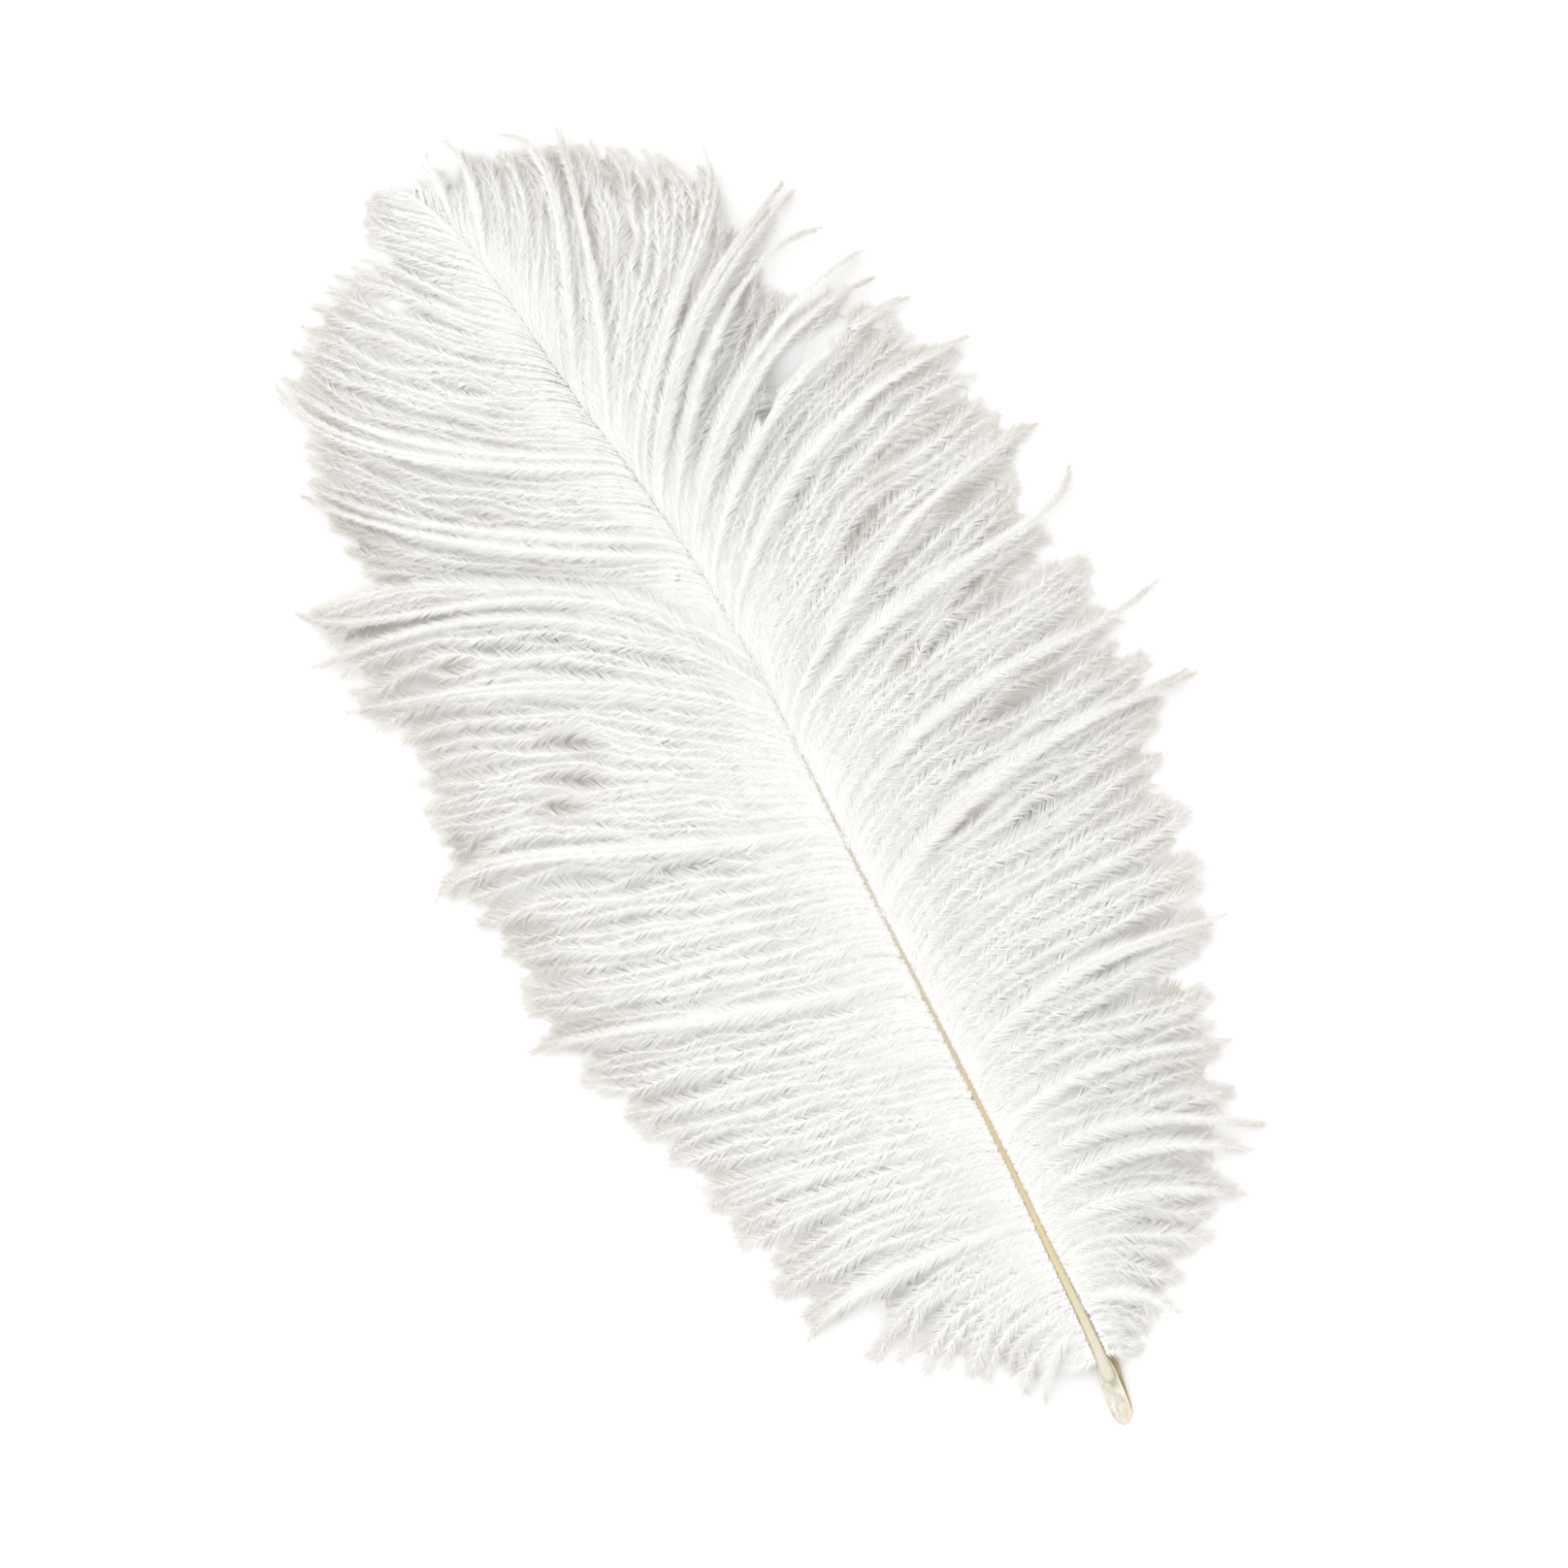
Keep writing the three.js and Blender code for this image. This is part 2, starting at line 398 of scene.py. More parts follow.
# %% [markdown]
# ## From locks to barbs
#
# Barbs leave the shaft evenly, like the teeth of a comb, and only further out do they gather
# into locks. So each barb has two routes. The first belongs to a smooth vane with no locks at
# all. The second belongs to its tuft, a bundle of a few barbs within a lock. The barb follows the
# first near the shaft and slides over to the second towards its end.
#
# A route is a cubic Bezier curve that rises a little and then droops until its end lies on the
# table. The first few millimetres are bent: a barb starts almost along the shaft and only then
# turns outwards, which is what makes the row of fine teeth beside the shaft. The bend is a push
# back along the shaft that dies away with the distance from it.

# %% Routes
ROUTE_POINTS = 34
TIP_REST = 0.6
TEETH = {-1: (3.0, 2.4), 1: (4.2, 2.8)}
TEETH_LEAST, TEETH_FROM, TEETH_FULL = 0.35, 20.0, 120.0
EVEN_SHARE = 0.45


def outward(angle, side):
    """The level direction turned outwards from +Y by an angle in degrees."""
    radians = np.radians(angle)
    flat = np.stack([side * np.sin(radians), np.cos(radians)], axis=-1)
    return np.concatenate([flat, np.zeros(flat.shape[:-1] + (1,))], axis=-1)


def ease(t, low, high):
    """0 below low, 1 above high, and a smooth step between."""
    s = np.clip((t - low) / (high - low), 0, 1)
    return s * s * (3 - 2 * s)


def routes(root, tip, leaving, keep, angle, side, t):
    """Routes from roots to tips, as an array of route, point, axis."""
    back, fade = TEETH[side]
    tooth = back * (TEETH_LEAST + (1 - TEETH_LEAST) * ease(root[:, 1], TEETH_FROM, TEETH_FULL))
    start = root + tooth[:, None] * [0, 1, 0]
    reach = np.hypot(tip[:, 0] - start[:, 0], tip[:, 1] - start[:, 1])[:, None]
    leave = start + outward(leaving, side) * reach * keep[:, None]
    leave[:, 2] += LOCK_CREST
    arrive = tip - outward(angle, side) * reach * (BOTH_SHARES - keep[:, None])
    arrive[:, 2] = tip[:, 2] + root[:, 2] * LOCK_FLARE
    t = t[None, :, None]
    path = (1 - t) ** 3 * start[:, None] + 3 * (1 - t) ** 2 * t * leave[:, None]
    path += 3 * (1 - t) * t**2 * arrive[:, None] + t**3 * tip[:, None]
    far = np.linalg.norm(path[..., :2] - start[:, None, :2], axis=-1)
    path[..., 1] -= tooth[:, None] * np.exp(-far / fade)
    return path


def spaced(count):
    """Places from 0 to 1 that lie closer together near the shaft, where the barbs bend most."""
    t = np.linspace(0, 1, count)
    return EVEN_SHARE * t + (1 - EVEN_SHARE) * t**2


ROUTE_PLACES = spaced(ROUTE_POINTS)
print("a route has", ROUTE_POINTS, "points")

# %% [markdown]
# First a reader for the lock tables. Read as it is, a column jumps a little from lock to lock, and
# that is what a tuft follows. Smoothed, it is the edge of a vane without locks, and that is what
# the barbs follow near the shaft. The distance between two lock tips tells how strongly the barbs
# gather: where the tips lie far apart, the edge opens into a real gap.

# %% Reading the lock tables
TIP_X, TIP_Y, TIP_ANGLE = 1, 2, 3
SMOOTHING = 7.0
SMOOTHING_REACH = 24
LEAST_PINCH = 0.2
GAP_FROM, GAP_FULL = 13.0, 22.0


def along_locks(locks, y, column, smoothing=0.0):
    """A column of the lock table read between its rows, smoothed or as it is."""
    order = np.argsort(locks[:, 0])
    grid = np.arange(0, PLUME_LENGTH + 1)
    line = np.interp(grid, locks[order, 0], locks[order, column])
    if smoothing:
        reach = SMOOTHING_REACH
        weight = np.exp(-((np.arange(-reach, reach + 1) / smoothing) ** 2))
        padded = np.pad(line, reach, mode="reflect", reflect_type="odd")
        line = np.convolve(padded, weight / weight.sum(), "valid")
    return np.interp(y, grid, line)


def pinch_at(locks, y):
    """How strongly barbs at y gather into their lock, from the distance between lock tips."""
    gaps = np.hypot(np.diff(locks[:, TIP_X]), np.diff(locks[:, TIP_Y]))
    between = (locks[1:, 0] + locks[:-1, 0]) / 2
    near = np.abs(between[None] - y[:, None]).argmin(axis=1)
    return LEAST_PINCH + (1 - LEAST_PINCH) * ease(gaps[near], GAP_FROM, GAP_FULL)


print("barbs gather by", pinch_at(LEFT_LOCKS, np.array([100.0, 213.0])), "on the left")

# %% [markdown]
# The comb's teeth stand about a millimetre and a quarter apart. They stand closer near the tip,
# and wherever the tips fan out so far that the table would show between them. Tufts of two to
# four barbs are dealt out along the shaft with a seeded random generator, so the plume is the
# same each time the script runs. Every third barb is a deep one. It lies lower, keeps to the
# smooth vane, ends a little short of the edge and has longer barbules, so it fills the space
# under the locks as the down of a real plume does.

# %% The comb
COMB_PITCH = 1.25
FINE_PITCH = 0.95
FINE_FROM, FINE_WIDE = 300.0, 10.0
FAN_WIDE = 1.35
FAN_MOST = 1.4
FIRST_BARB = 18.0
LAST_BARB = 349.0
COMB_STEP = 0.5
PLACE_JITTER = 0.3
TUFT_SIZES = [2, 3, 3, 4]
TUFT_FACTS = 10
DEEP_EVERY = 3


def comb_places(locks):
    """Where barbs leave the shaft: evenly, but closer together where their tips fan out most."""
    grid = np.arange(FIRST_BARB, LAST_BARB, COMB_STEP)
    tip = [along_locks(locks, grid, column, SMOOTHING) for column in (TIP_X, TIP_Y)]
    fan = np.hypot(np.gradient(tip[0], grid), np.gradient(tip[1], grid))
    pitch = COMB_PITCH / np.clip(fan / FAN_WIDE, 1, FAN_MOST)
    pitch += (FINE_PITCH - pitch) * ease(grid, FINE_FROM - FINE_WIDE, FINE_FROM + FINE_WIDE)
    number = np.concatenate([[0], np.cumsum(COMB_STEP / pitch)[:-1]])
    return np.interp(np.arange(0, number[-1]), number, grid)


def deal_tufts(count, rng):
    """Which tuft each barb belongs to, counted along the shaft."""
    sizes = rng.choice(TUFT_SIZES, count)
    return np.repeat(np.arange(count), sizes)[:count]


def set_comb(locks, rng):
    """Each barb's place, its tuft's middle and random facts, and whether it is a deep one."""
    y = comb_places(locks)
    y = y + rng.uniform(-PLACE_JITTER, PLACE_JITTER, len(y)) * COMB_PITCH
    tuft = deal_tufts(len(y), rng)
    middle = np.array([y[tuft == k].mean() for k in tuft])
    own = {k: rng.uniform(-1, 1, TUFT_FACTS) for k in np.unique(tuft)}
    own = np.array([own[k] for k in tuft])
    deep = (np.arange(len(y)) % DEEP_EVERY == 1).astype(float)
    return y, middle, own, deep


print(len(comb_places(LEFT_LOCKS)), "and", len(comb_places(RIGHT_LOCKS)), "teeth")

# %% [markdown]
# A parting pushes the barbs that pass it to both sides, each to the side that it mostly lies on.
# Deep barbs are hardly pushed, so they show in the gap, in the shade. A hole pushes them all.
# Barbs beside a hole also droop to the table, which keeps its floor from lying in deep shade.
# The painted shade that darkens the barbs down in a parting, a beige tint, is worked out from the
# same rows.

# %% Partings and holes
PARTING_HALF = 8.0
PARTING_FADE = 2.2
PARTING_REACH = 12.0
STRAY_BACK = 0.5
DEEP_STAYS = 0.85
SAG = 0.6
SAG_LONG, SAG_HALF = 1.6, 14.0
# Painted shade in partings: how wide it spreads, and how far from the shaft it fades in.
PIT_SHADE_WIDE = 0.8
PIT_SHADE_FROM = (10, 36)


def beside(points, x, y, angle, side):
    """Each point's distance along a parting and across it, and the direction across."""
    ahead = outward(angle, side)[:2]
    away = np.array([-ahead[1], ahead[0]])
    offset = points[..., :2] - (x, y)
    return offset @ ahead, offset @ away, away


def open_partings(path, partings, side, share):
    """Pushes each barb that passes a parting to the side of it that the barb mostly lies on."""
    for x, y, angle, long, push in partings:
        u, v, away = beside(path, x, y, angle, side)
        level = np.exp(-((u / long) ** 2))
        near = level * np.exp(-((v / PARTING_HALF) ** 2)) + 1e-9
        lies = (near * v).sum(axis=1) / near.sum(axis=1)
        clear = v * np.sign(lies)[:, None]
        size = push * np.exp(-np.maximum(clear, 0) / (PARTING_FADE * push))
        size = (size + STRAY_BACK * np.maximum(-clear, 0)) * level
        size *= np.exp(-((lies / PARTING_REACH) ** 2))[:, None]
        way = np.where(lies < 0, -1, 1) * share
        path[..., :2] += (size * way[:, None])[..., None] * away


def sag(path, holes, side):
    """The share of its height that each point keeps. Barbs beside a hole droop to the table."""
    kept = np.ones(path.shape[:2])
    for x, y, angle, long, _ in holes:
        u, v, _ = beside(path, x, y, angle, side)
        close = np.exp(-((u / (SAG_LONG * long)) ** 2) - (v / SAG_HALF) ** 2)
        kept = np.minimum(kept, 1 - SAG * close)
    return kept


def pit_shade(path, partings, side):
    """How much painted shade each point gets: 1 in the middle of a parting, nothing away from it or
    near X 0.
    """
    painted_shade = np.zeros(path.shape[:2])
    for x, y, angle, long, push in partings:
        u, v, _ = beside(path, x, y, angle, side)
        painted_shade = np.maximum(painted_shade, np.exp(-((u / long) ** 2) - (v / (PIT_SHADE_WIDE * push)) ** 2))
    return painted_shade * ease(np.abs(path[..., 0]), *PIT_SHADE_FROM)


print("beside a hole a barb keeps", round(1 - SAG, 2), "of its height")

# %% [markdown]
# Each tuft has its own place on the outline. Its barbs lean towards their lock's tip by a share,
# and the ones between two locks are a little shorter, which notches the edge. One barb in eight
# is a good deal shorter, as if it had worn off. The tufts of the crown on the right are gathered
# more and are of more uneven length, so that they end in points.

# %% Tips
TUFT_TURN = 5.0
BARB_TURN = 10.0
SPOT_SHARE = 0.7
NOTCH_AT, NOTCH = (150, 230), (4.6, 2.6)
TUFT_SHORT = 0.9
BARB_SHORT = 1.2
WORN_SHARE, WORN = 0.12, (2, 12)
DEEP_WORN = 6.0
CALM_FROM = 270.0
CALM_WIDE = 15.0
SMOOTH_LOBE, LOBE_WIDE = 0.7, 25.0
RAGGED = 2.2
CROWN_NOTCH = 4.0
TIP_APART = 1.3
TUFT_RISE, BARB_RISE = 0.5, 0.9


def tuft_tips(locks, y, middle, own, deep, pinch, side, rng):
    """Where barbs take their tips as members of a tuft: the tip, its angle and its root."""
    count = len(y)
    lock = np.abs(locks[None, :, 0] - middle[:, None]).argmin(axis=1)
    row = locks[lock]
    spans = np.abs(np.gradient(locks[:, 0]))[lock]
    place = np.clip((middle - row[:, 0]) / spans * 2, -1, 1)
    angle = along_locks(locks, middle, TIP_ANGLE) + TUFT_TURN * own[:, 0]
    angle += rng.uniform(-BARB_TURN, BARB_TURN, count)
    ahead = outward(angle, side)
    across = np.stack([-ahead[:, 1], ahead[:, 0], ahead[:, 2]], axis=-1) * side
    spot = (1 - SPOT_SHARE) * middle + SPOT_SHARE * y
    outline = np.stack([along_locks(locks, spot, column) for column in (TIP_X, TIP_Y)], axis=-1)
    short = np.interp(y, NOTCH_AT, NOTCH) * place**2
    short += TUFT_SHORT * (own[:, 1] + 1) + rng.uniform(0, BARB_SHORT, count)
    short += np.where(rng.random(count) < WORN_SHARE, rng.uniform(*WORN, count), 0)
    short += deep * rng.uniform(0, DEEP_WORN, count)
    if side < 0:
        short *= 1 - SMOOTH_LOBE * ease(y, FINE_FROM, FINE_FROM + LOBE_WIDE)
    else:
        crown = ease(y, CALM_FROM, CALM_FROM + CALM_WIDE)
        short += (RAGGED * (own[:, 1] + 1) + CROWN_NOTCH * place**2) * crown
    tip = np.zeros((count, 3))
    tip[:, :2] = outline * (1 - pinch) + row[:, TIP_X : TIP_Y + 1] * pinch
    tip += across * rng.uniform(-TIP_APART, TIP_APART, count)[:, None]
    tip -= ahead * short[:, None]
    tip[:, 2] = TIP_REST + TUFT_RISE * (own[:, 2] + 1) + rng.uniform(0, BARB_RISE, count)
    return tip, angle, spot


print("tips lie", TIP_REST, "to", TIP_REST + 2 * TUFT_RISE + BARB_RISE, "mm above the table")

# %% [markdown]
# A tuft has slow waves, sideways and up and down, and each barb adds a little of its own. The
# waves take tufts over and under each other, so the shade between them comes in short dashes.
# Without them the fluff looks combed.

# %% Waves
TUFT_SWAY, TUFT_SWAY_LONG = 0.7, (46, 14)
BARB_SWAY, BARB_SWAY_LONG = 1.2, (20, 44)
TUFT_LIFT, TUFT_LIFT_LONG = 0.16, (32, 10)
BARB_LIFT, BARB_LIFT_LONG = 0.42, (11, 26)
TUFT_START, WAVE_START = 3.0, 6.0
FREE_FROM, FREE_FULL = 2, 26
CROWN_CALM = 0.35


def waves(size, length, phase, distance):
    """Slow waves along the barbs, one row a barb."""
    return size[:, None] * np.sin(2 * np.pi * distance / length[:, None] + phase[:, None])


def own_waves(size, long, distance, rng):
    """A wave of its own for every barb, of random size, length and start."""
    count = len(distance)
    heights, lengths = rng.uniform(-1, 1, count) * size, rng.uniform(*long, count)
    return waves(heights, lengths, rng.uniform(0, WAVE_START, count), distance)


def across_path(path):
    """The level direction square to each point's course."""
    flat = np.gradient(path, axis=1)
    flat[..., 2] = 0
    flat /= np.linalg.norm(flat, axis=2, keepdims=True)
    return np.stack([-flat[..., 1], flat[..., 0], flat[..., 2]], axis=-1)


print("a barb sways up to", TUFT_SWAY + BARB_SWAY, "mm to either side")

# %% [markdown]
# Now the barbs themselves. Below the tip the shaft is thin and the barbs cover it, so they are
# rooted on its middle there, and further down at its sides, in the grooves. The two routes are
# blended, the waves are added, the partings are opened, and the deep barbs are let down.

# %% Barbs of one side
COVERED_FROM, COVERED_WIDE = 262.0, 14.0
ROOT_OUT, COVERED_IN = 0.4, 0.5
ROOT_HIGH, COVERED_HIGH = 0.38, 0.25
DEEP_SHORT = (6.5, 24.0)
DEEP_HOLD = 0.65
DEEP_DROP, DROP_FROM = 0.5, (12, 36)
# Deep barbs lie under the locks and get a little painted shade all along.
DEEP_SHADE = 0.04
CROWN_PINCH, CROWN_WIDE = 0.6, 8.0
GATHER_FROM, GATHER_LATE = 0.1, 0.35
TUFT_LEAVE = 3.0
HOLD = (0.85, 1)
LOOSE_SHARE, LOOSE_HOLD = 0.1, 0.5
LOWEST = 0.35
TUFT_ROLL = 3.0


def make_barbs(locks, leaving, partings, holes, side, rng):
    """Routes of every barb of one vane, with the facts that the later steps need."""
    y, middle, own, deep = set_comb(locks, rng)
    count = len(y)
    covered = ease(y, COVERED_FROM - COVERED_WIDE, COVERED_FROM + COVERED_WIDE)
    root = shaft_point(y)
    width = smooth_line(SHAFT, y, 2)
    root[:, 0] += side * width * (ROOT_OUT - COVERED_IN * covered)
    root[:, 2] += ROOT_HIGH * width + COVERED_HIGH * covered
    leave, keep = smooth_line(leaving, y, 1), smooth_line(leaving, y, 2)

    smooth = [along_locks(locks, y, column, SMOOTHING) for column in (TIP_X, TIP_Y, TIP_ANGLE)]
    plain_tip = np.stack([smooth[0], smooth[1], np.full(count, TIP_REST)], axis=-1)
    pinch = pinch_at(locks, middle)[:, None]
    tight = (pinch - LEAST_PINCH) / (1 - LEAST_PINCH)
    shorter = DEEP_SHORT[0] + (DEEP_SHORT[1] - DEEP_SHORT[0]) * tight
    plain_tip -= outward(smooth[2], side) * (shorter * deep[:, None])
    plain = routes(root, plain_tip, leave, keep, smooth[2], side, ROUTE_PLACES)

    if side > 0:
        crown = ease(middle, CALM_FROM - CROWN_WIDE, CALM_FROM + CROWN_WIDE)[:, None]
        pinch = np.maximum(pinch, CROWN_PINCH * crown)
    tip, angle, spot = tuft_tips(locks, y, middle, own, deep, pinch, side, rng)
    turned = leave + TUFT_LEAVE * own[:, 7]
    gathered = routes(shaft_point(spot), tip, turned, keep, angle, side, ROUTE_PLACES)

    hold = np.where(rng.random(count) < LOOSE_SHARE, LOOSE_HOLD, rng.uniform(*HOLD, count))
    hold *= 1 - DEEP_HOLD * deep
    late = GATHER_FROM + GATHER_LATE * (pinch - LEAST_PINCH)
    blend = (ease(ROUTE_PLACES[None], late, 1) * hold[:, None])[..., None]
    path = plain * (1 - blend) + gathered * blend

    steps = np.linalg.norm(np.diff(path, axis=1), axis=2)
    far = np.concatenate([np.zeros((count, 1)), np.cumsum(steps, axis=1)], axis=1)
    calm = 1 - CROWN_CALM * ease(y, CALM_FROM, CALM_FROM + 2 * CALM_WIDE)
    free = ease(far, FREE_FROM, FREE_FULL) * calm[:, None]
    long = TUFT_SWAY_LONG[0] + TUFT_SWAY_LONG[1] * own[:, 4]
    sway = waves(TUFT_SWAY * own[:, 3], long, TUFT_START * own[:, 5], far)
    sway += own_waves(BARB_SWAY, BARB_SWAY_LONG, far, rng)
    path += across_path(path) * (sway * free)[..., None]
    open_partings(path, partings, side, 1 - DEEP_STAYS * deep)
    open_partings(path, holes, side, np.ones(count))

    long = TUFT_LIFT_LONG[0] + TUFT_LIFT_LONG[1] * own[:, 9]
    lift = waves(TUFT_LIFT * own[:, 8], long, TUFT_START * own[:, 4], far)
    lift += own_waves(BARB_LIFT, BARB_LIFT_LONG, far, rng)
    lift -= DEEP_DROP * deep[:, None] * ease(far, *DROP_FROM)
    if side < 0:
        sweeping = np.exp(-(((y - SWEEP_AT) / SWEEP_WIDE) ** 2)) * (1 - deep)
        lift += SWEEP_LIFT * sweeping[:, None] * ease(far, *SWEEP_FROM)
    path[..., 2] = np.maximum((path[..., 2] + lift * free) * sag(path, holes, side), LOWEST)
    # Painted shade: a beige darkening down in the partings and on the deep barbs.
    painted_shade = np.maximum(pit_shade(path, partings, side), DEEP_SHADE * deep[:, None])
    return {"path": path, "painted_shade": painted_shade, "roll": TUFT_ROLL * own[:, 4], "y": y, "deep": deep}


print("deep barbs end", DEEP_SHORT[0], "to", DEEP_SHORT[1], "mm short of the edge")

# %% [markdown]
# The wisps take the same kind of route. Each row makes three barbs that cling together, one of
# them a little shorter, with their tips in the air.

# %% Wisps
WISP_KEEP = 0.52
WISP_BARBS = 3
WISP_APART = 0.7
WISP_SHORTER = [0.0, 1.5, 4.0]
WISP_HIGH = (2.0, 4.5)
WISP_ROLL = 20.0
WISP_ROOT, WISP_JITTER, WISP_BOW = 0.4, 1.0, 1.0
# Painted shade that greys the wisps towards their ends.
WISP_SHADE, WISP_SHADE_FROM = 0.15, 0.6


def make_wisps(wisps, leaving, side, rng):
    """Routes of the few barbs that have slipped out of their locks, a small bundle a row."""
    wisps = np.repeat(wisps, WISP_BARBS, axis=0)
    count = len(wisps)
    y = wisps[:, 0] + rng.uniform(-WISP_JITTER, WISP_JITTER, count)
    root = shaft_point(y)
    root[:, 2] += WISP_ROOT
    tip = np.zeros((count, 3))
    tip[:, :2] = wisps[:, 1:3] + rng.uniform(-WISP_APART, WISP_APART, (count, 2))
    tip -= outward(wisps[:, 3], side) * rng.choice(WISP_SHORTER, count)[:, None]
    tip[:, 2] = rng.uniform(*WISP_HIGH, count)
    leave = smooth_line(leaving, y, 1)
    keep = np.full(count, WISP_KEEP)
    path = routes(root, tip, leave, keep, wisps[:, 3], side, ROUTE_PLACES)
    path[..., 2] += WISP_BOW * np.sin(np.pi * ROUTE_PLACES)[None]
    # Painted shade towards each wisp's end.
    painted_shade = np.tile(WISP_SHADE * ease(ROUTE_PLACES, WISP_SHADE_FROM, 1), (count, 1))
    roll = rng.uniform(-WISP_ROLL, WISP_ROLL, count)
    return {"path": path, "painted_shade": painted_shade, "roll": roll, "y": y, "deep": np.zeros(count)}


print(WISP_BARBS * (len(LEFT_WISPS) + len(RIGHT_WISPS)), "barbs in wisps")

# %% Both vanes
random = np.random.default_rng(SEED)
barbs = {}
for name, side, locks, leaving, wisps, partings, holes in (
    ("left", -1, LEFT_LOCKS, LEFT_LEAVING, LEFT_WISPS, LEFT_PARTINGS, LEFT_HOLES),
    ("right", 1, RIGHT_LOCKS, RIGHT_LEAVING, RIGHT_WISPS, RIGHT_PARTINGS, RIGHT_HOLES),
):
    vane = make_barbs(locks, leaving, partings, holes, side, random)
    loose = make_wisps(wisps, leaving, side, random)
    vane["wisp"] = np.repeat([0.0, 1.0], [len(vane["y"]), len(loose["y"])])
    for key in ("path", "painted_shade", "roll", "y", "deep"):
        vane[key] = np.concatenate([vane[key], loose[key]])
    vane["holes"], vane["side"] = holes, side
    barbs[name] = vane
    steps = np.linalg.norm(np.diff(vane["path"], axis=1), axis=2).sum(axis=1)
    print(name, len(steps), "barbs,", round(steps.sum() / 1000, 1), "m in all")

# %% [markdown]
# ## Writing meshes from arrays
#
# `from_pydata` is slow for nearly a million triangles. `foreach_set` copies whole numpy arrays
# into a mesh in one go. The attributes written with it, such as how far along its barb a point
# is, are read later by the materials.

# %% Mesh writer
TABLE_CLEAR = 0.03


def write_mesh(name, vertices, triangles, attributes):
    """A mesh object from vertices in millimetres, triangles, and one number a vertex by name."""
    mesh = bpy.data.meshes.new(name)
    mesh.vertices.add(len(vertices))
    mesh.vertices.foreach_set("co", to_frame(vertices).astype(np.float32).ravel())
    mesh.loops.add(triangles.size)
    mesh.loops.foreach_set("vertex_index", triangles.astype(np.int32).ravel())
    mesh.polygons.add(len(triangles))
    mesh.polygons.foreach_set("loop_start", np.arange(0, triangles.size, 3, dtype=np.int32))
    mesh.update(calc_edges=True)
    for key, values in attributes.items():
        layer = mesh.attributes.new(key, "FLOAT", "POINT")
        layer.data.foreach_set("value", values.astype(np.float32))
    mesh.validate()
    piece = bpy.data.objects.new(name, mesh)
    bpy.context.scene.collection.objects.link(piece)
    print(name, len(triangles), "triangles")
    return piece


def frames_along(path):
    """Unit vectors along a path, to its side and up from it, for every point."""
    along = np.gradient(path, axis=-2)
    along /= np.linalg.norm(along, axis=-1, keepdims=True)
    side = np.cross(along, [0, 0, 1.0])
    side /= np.linalg.norm(side, axis=-1, keepdims=True)
    return along, side, np.cross(side, along)


# %% [markdown]
# ## Ribs
#
# A barb's rib is a thread of horn, about a third of a millimetre thick where it leaves the shaft
# and as fine as a hair at its end. Close to the shaft the ribs are the brightest thing in the
# vane. A tube with three sides is enough for something this thin.

# %% Ribs
RIB_WIDE = 0.34
RIB_FINE = 0.07
RIB_TAPER = 0.6
RIB_SIDES = 3


def rib_mesh(name, vane):
    """Every rib of a vane, joined in one mesh."""
    path = vane["path"]
    count = len(path)
    t = ROUTE_PLACES
    _, side, up = frames_along(path)
    radius = (RIB_WIDE + (RIB_FINE - RIB_WIDE) * t**RIB_TAPER)[None, :, None, None] / 2
    turn = np.radians([90, 210, 330])
    ring = side[:, :, None] * np.cos(turn)[:, None] + up[:, :, None] * np.sin(turn)[:, None]
    vertices = (path[:, :, None] + ring * radius).reshape(-1, 3)
    vertices[:, 2] = np.maximum(vertices[:, 2], TABLE_CLEAR)
    base = np.arange(count * ROUTE_POINTS * RIB_SIDES).reshape(count, ROUTE_POINTS, RIB_SIDES)
    a, b = base[:, :-1], np.roll(base, -1, axis=2)[:, :-1]
    c, d = np.roll(base, -1, axis=2)[:, 1:], base[:, 1:]
    walls = np.stack([a, b, c, a, c, d], axis=-1).reshape(-1, 3)
    ends = np.concatenate([base[:, 0, ::-1], base[:, -1]])
    along = np.broadcast_to(t[None, :, None], base.shape).ravel()
    painted_shade = np.broadcast_to(vane["painted_shade"][:, :, None], base.shape).ravel()
    return write_mesh(name, vertices, np.concatenate([walls, ends]), {"along": along, "painted_shade": painted_shade})


ribs = [rib_mesh(side + "_ribs", vane) for side, vane in barbs.items()]

# %% [markdown]
# ## Barbules
#
# Barbules are what makes the plume fluffy. They stand along both sides of every rib, slant
# towards its tip like the bones of a herring, hang down on each side, and are three to five
# millimetres long. On the real feather they are finer than any mesh can afford, so each one here
# is a single sliver of a triangle, broad where it joins the rib and nothing at its tip.
#
# Barbules cling together too, a few at a time, which is what one can see of them from a step
# away. So they are dealt out in clumps of about a millimetre. The barbules of a clump share a
# slant, a droop and a painted shade, and their tips lean together; the painted shade is a random
# darkening, with more of each barbule's own, that stands in for the way it faces the light. Each
# is twisted a little about its own length, so that no two face the light alike. In the first two
# millimetres they are short and stand square to the rib, which leaves a fine clear line on each
# side of the shaft.

# %% Barbule table: root along Y, length, slant in degrees, share of the length beside the shaft
BARBULES = np.array([
    [0, 5.0, 37, 0.85],
    [60, 5.0, 37, 0.85],
    [130, 4.7, 36, 0.8],
    [200, 4.4, 35, 0.65],
    [250, 3.9, 33, 0.45],
    [290, 3.4, 31, 0.3],
    [350, 3.2, 30, 0.3],
])
THINNED = 1
BARBULE_GAP = 0.13 * THINNED
BARBULE_FOOT = 1.5
BARBULE_HANG = 5.0
BARBULE_TWIST = 18.0
CLUMP = 1.1
CLING = 0.4
WISP_THIN = 0.45
DEEP_LONGER = 0.35
DEEP_LEAN = 14.0
GUTTER_WIDE = 2.2
GUTTER_SHORT = 0.65
GUTTER_SLANT = 86.0
GUTTER_GONE = (200, 260)
print("barbules stand", BARBULE_GAP, "mm apart")

# %% Barbule lengths
GROW_WIDE = 12.0
END_SHARE, END_WIDE = 0.6, 6.0
WISP_BARE_FROM, WISP_BARE_FULL = 0.4, 0.7
LOOSE_WIDE = 20.0


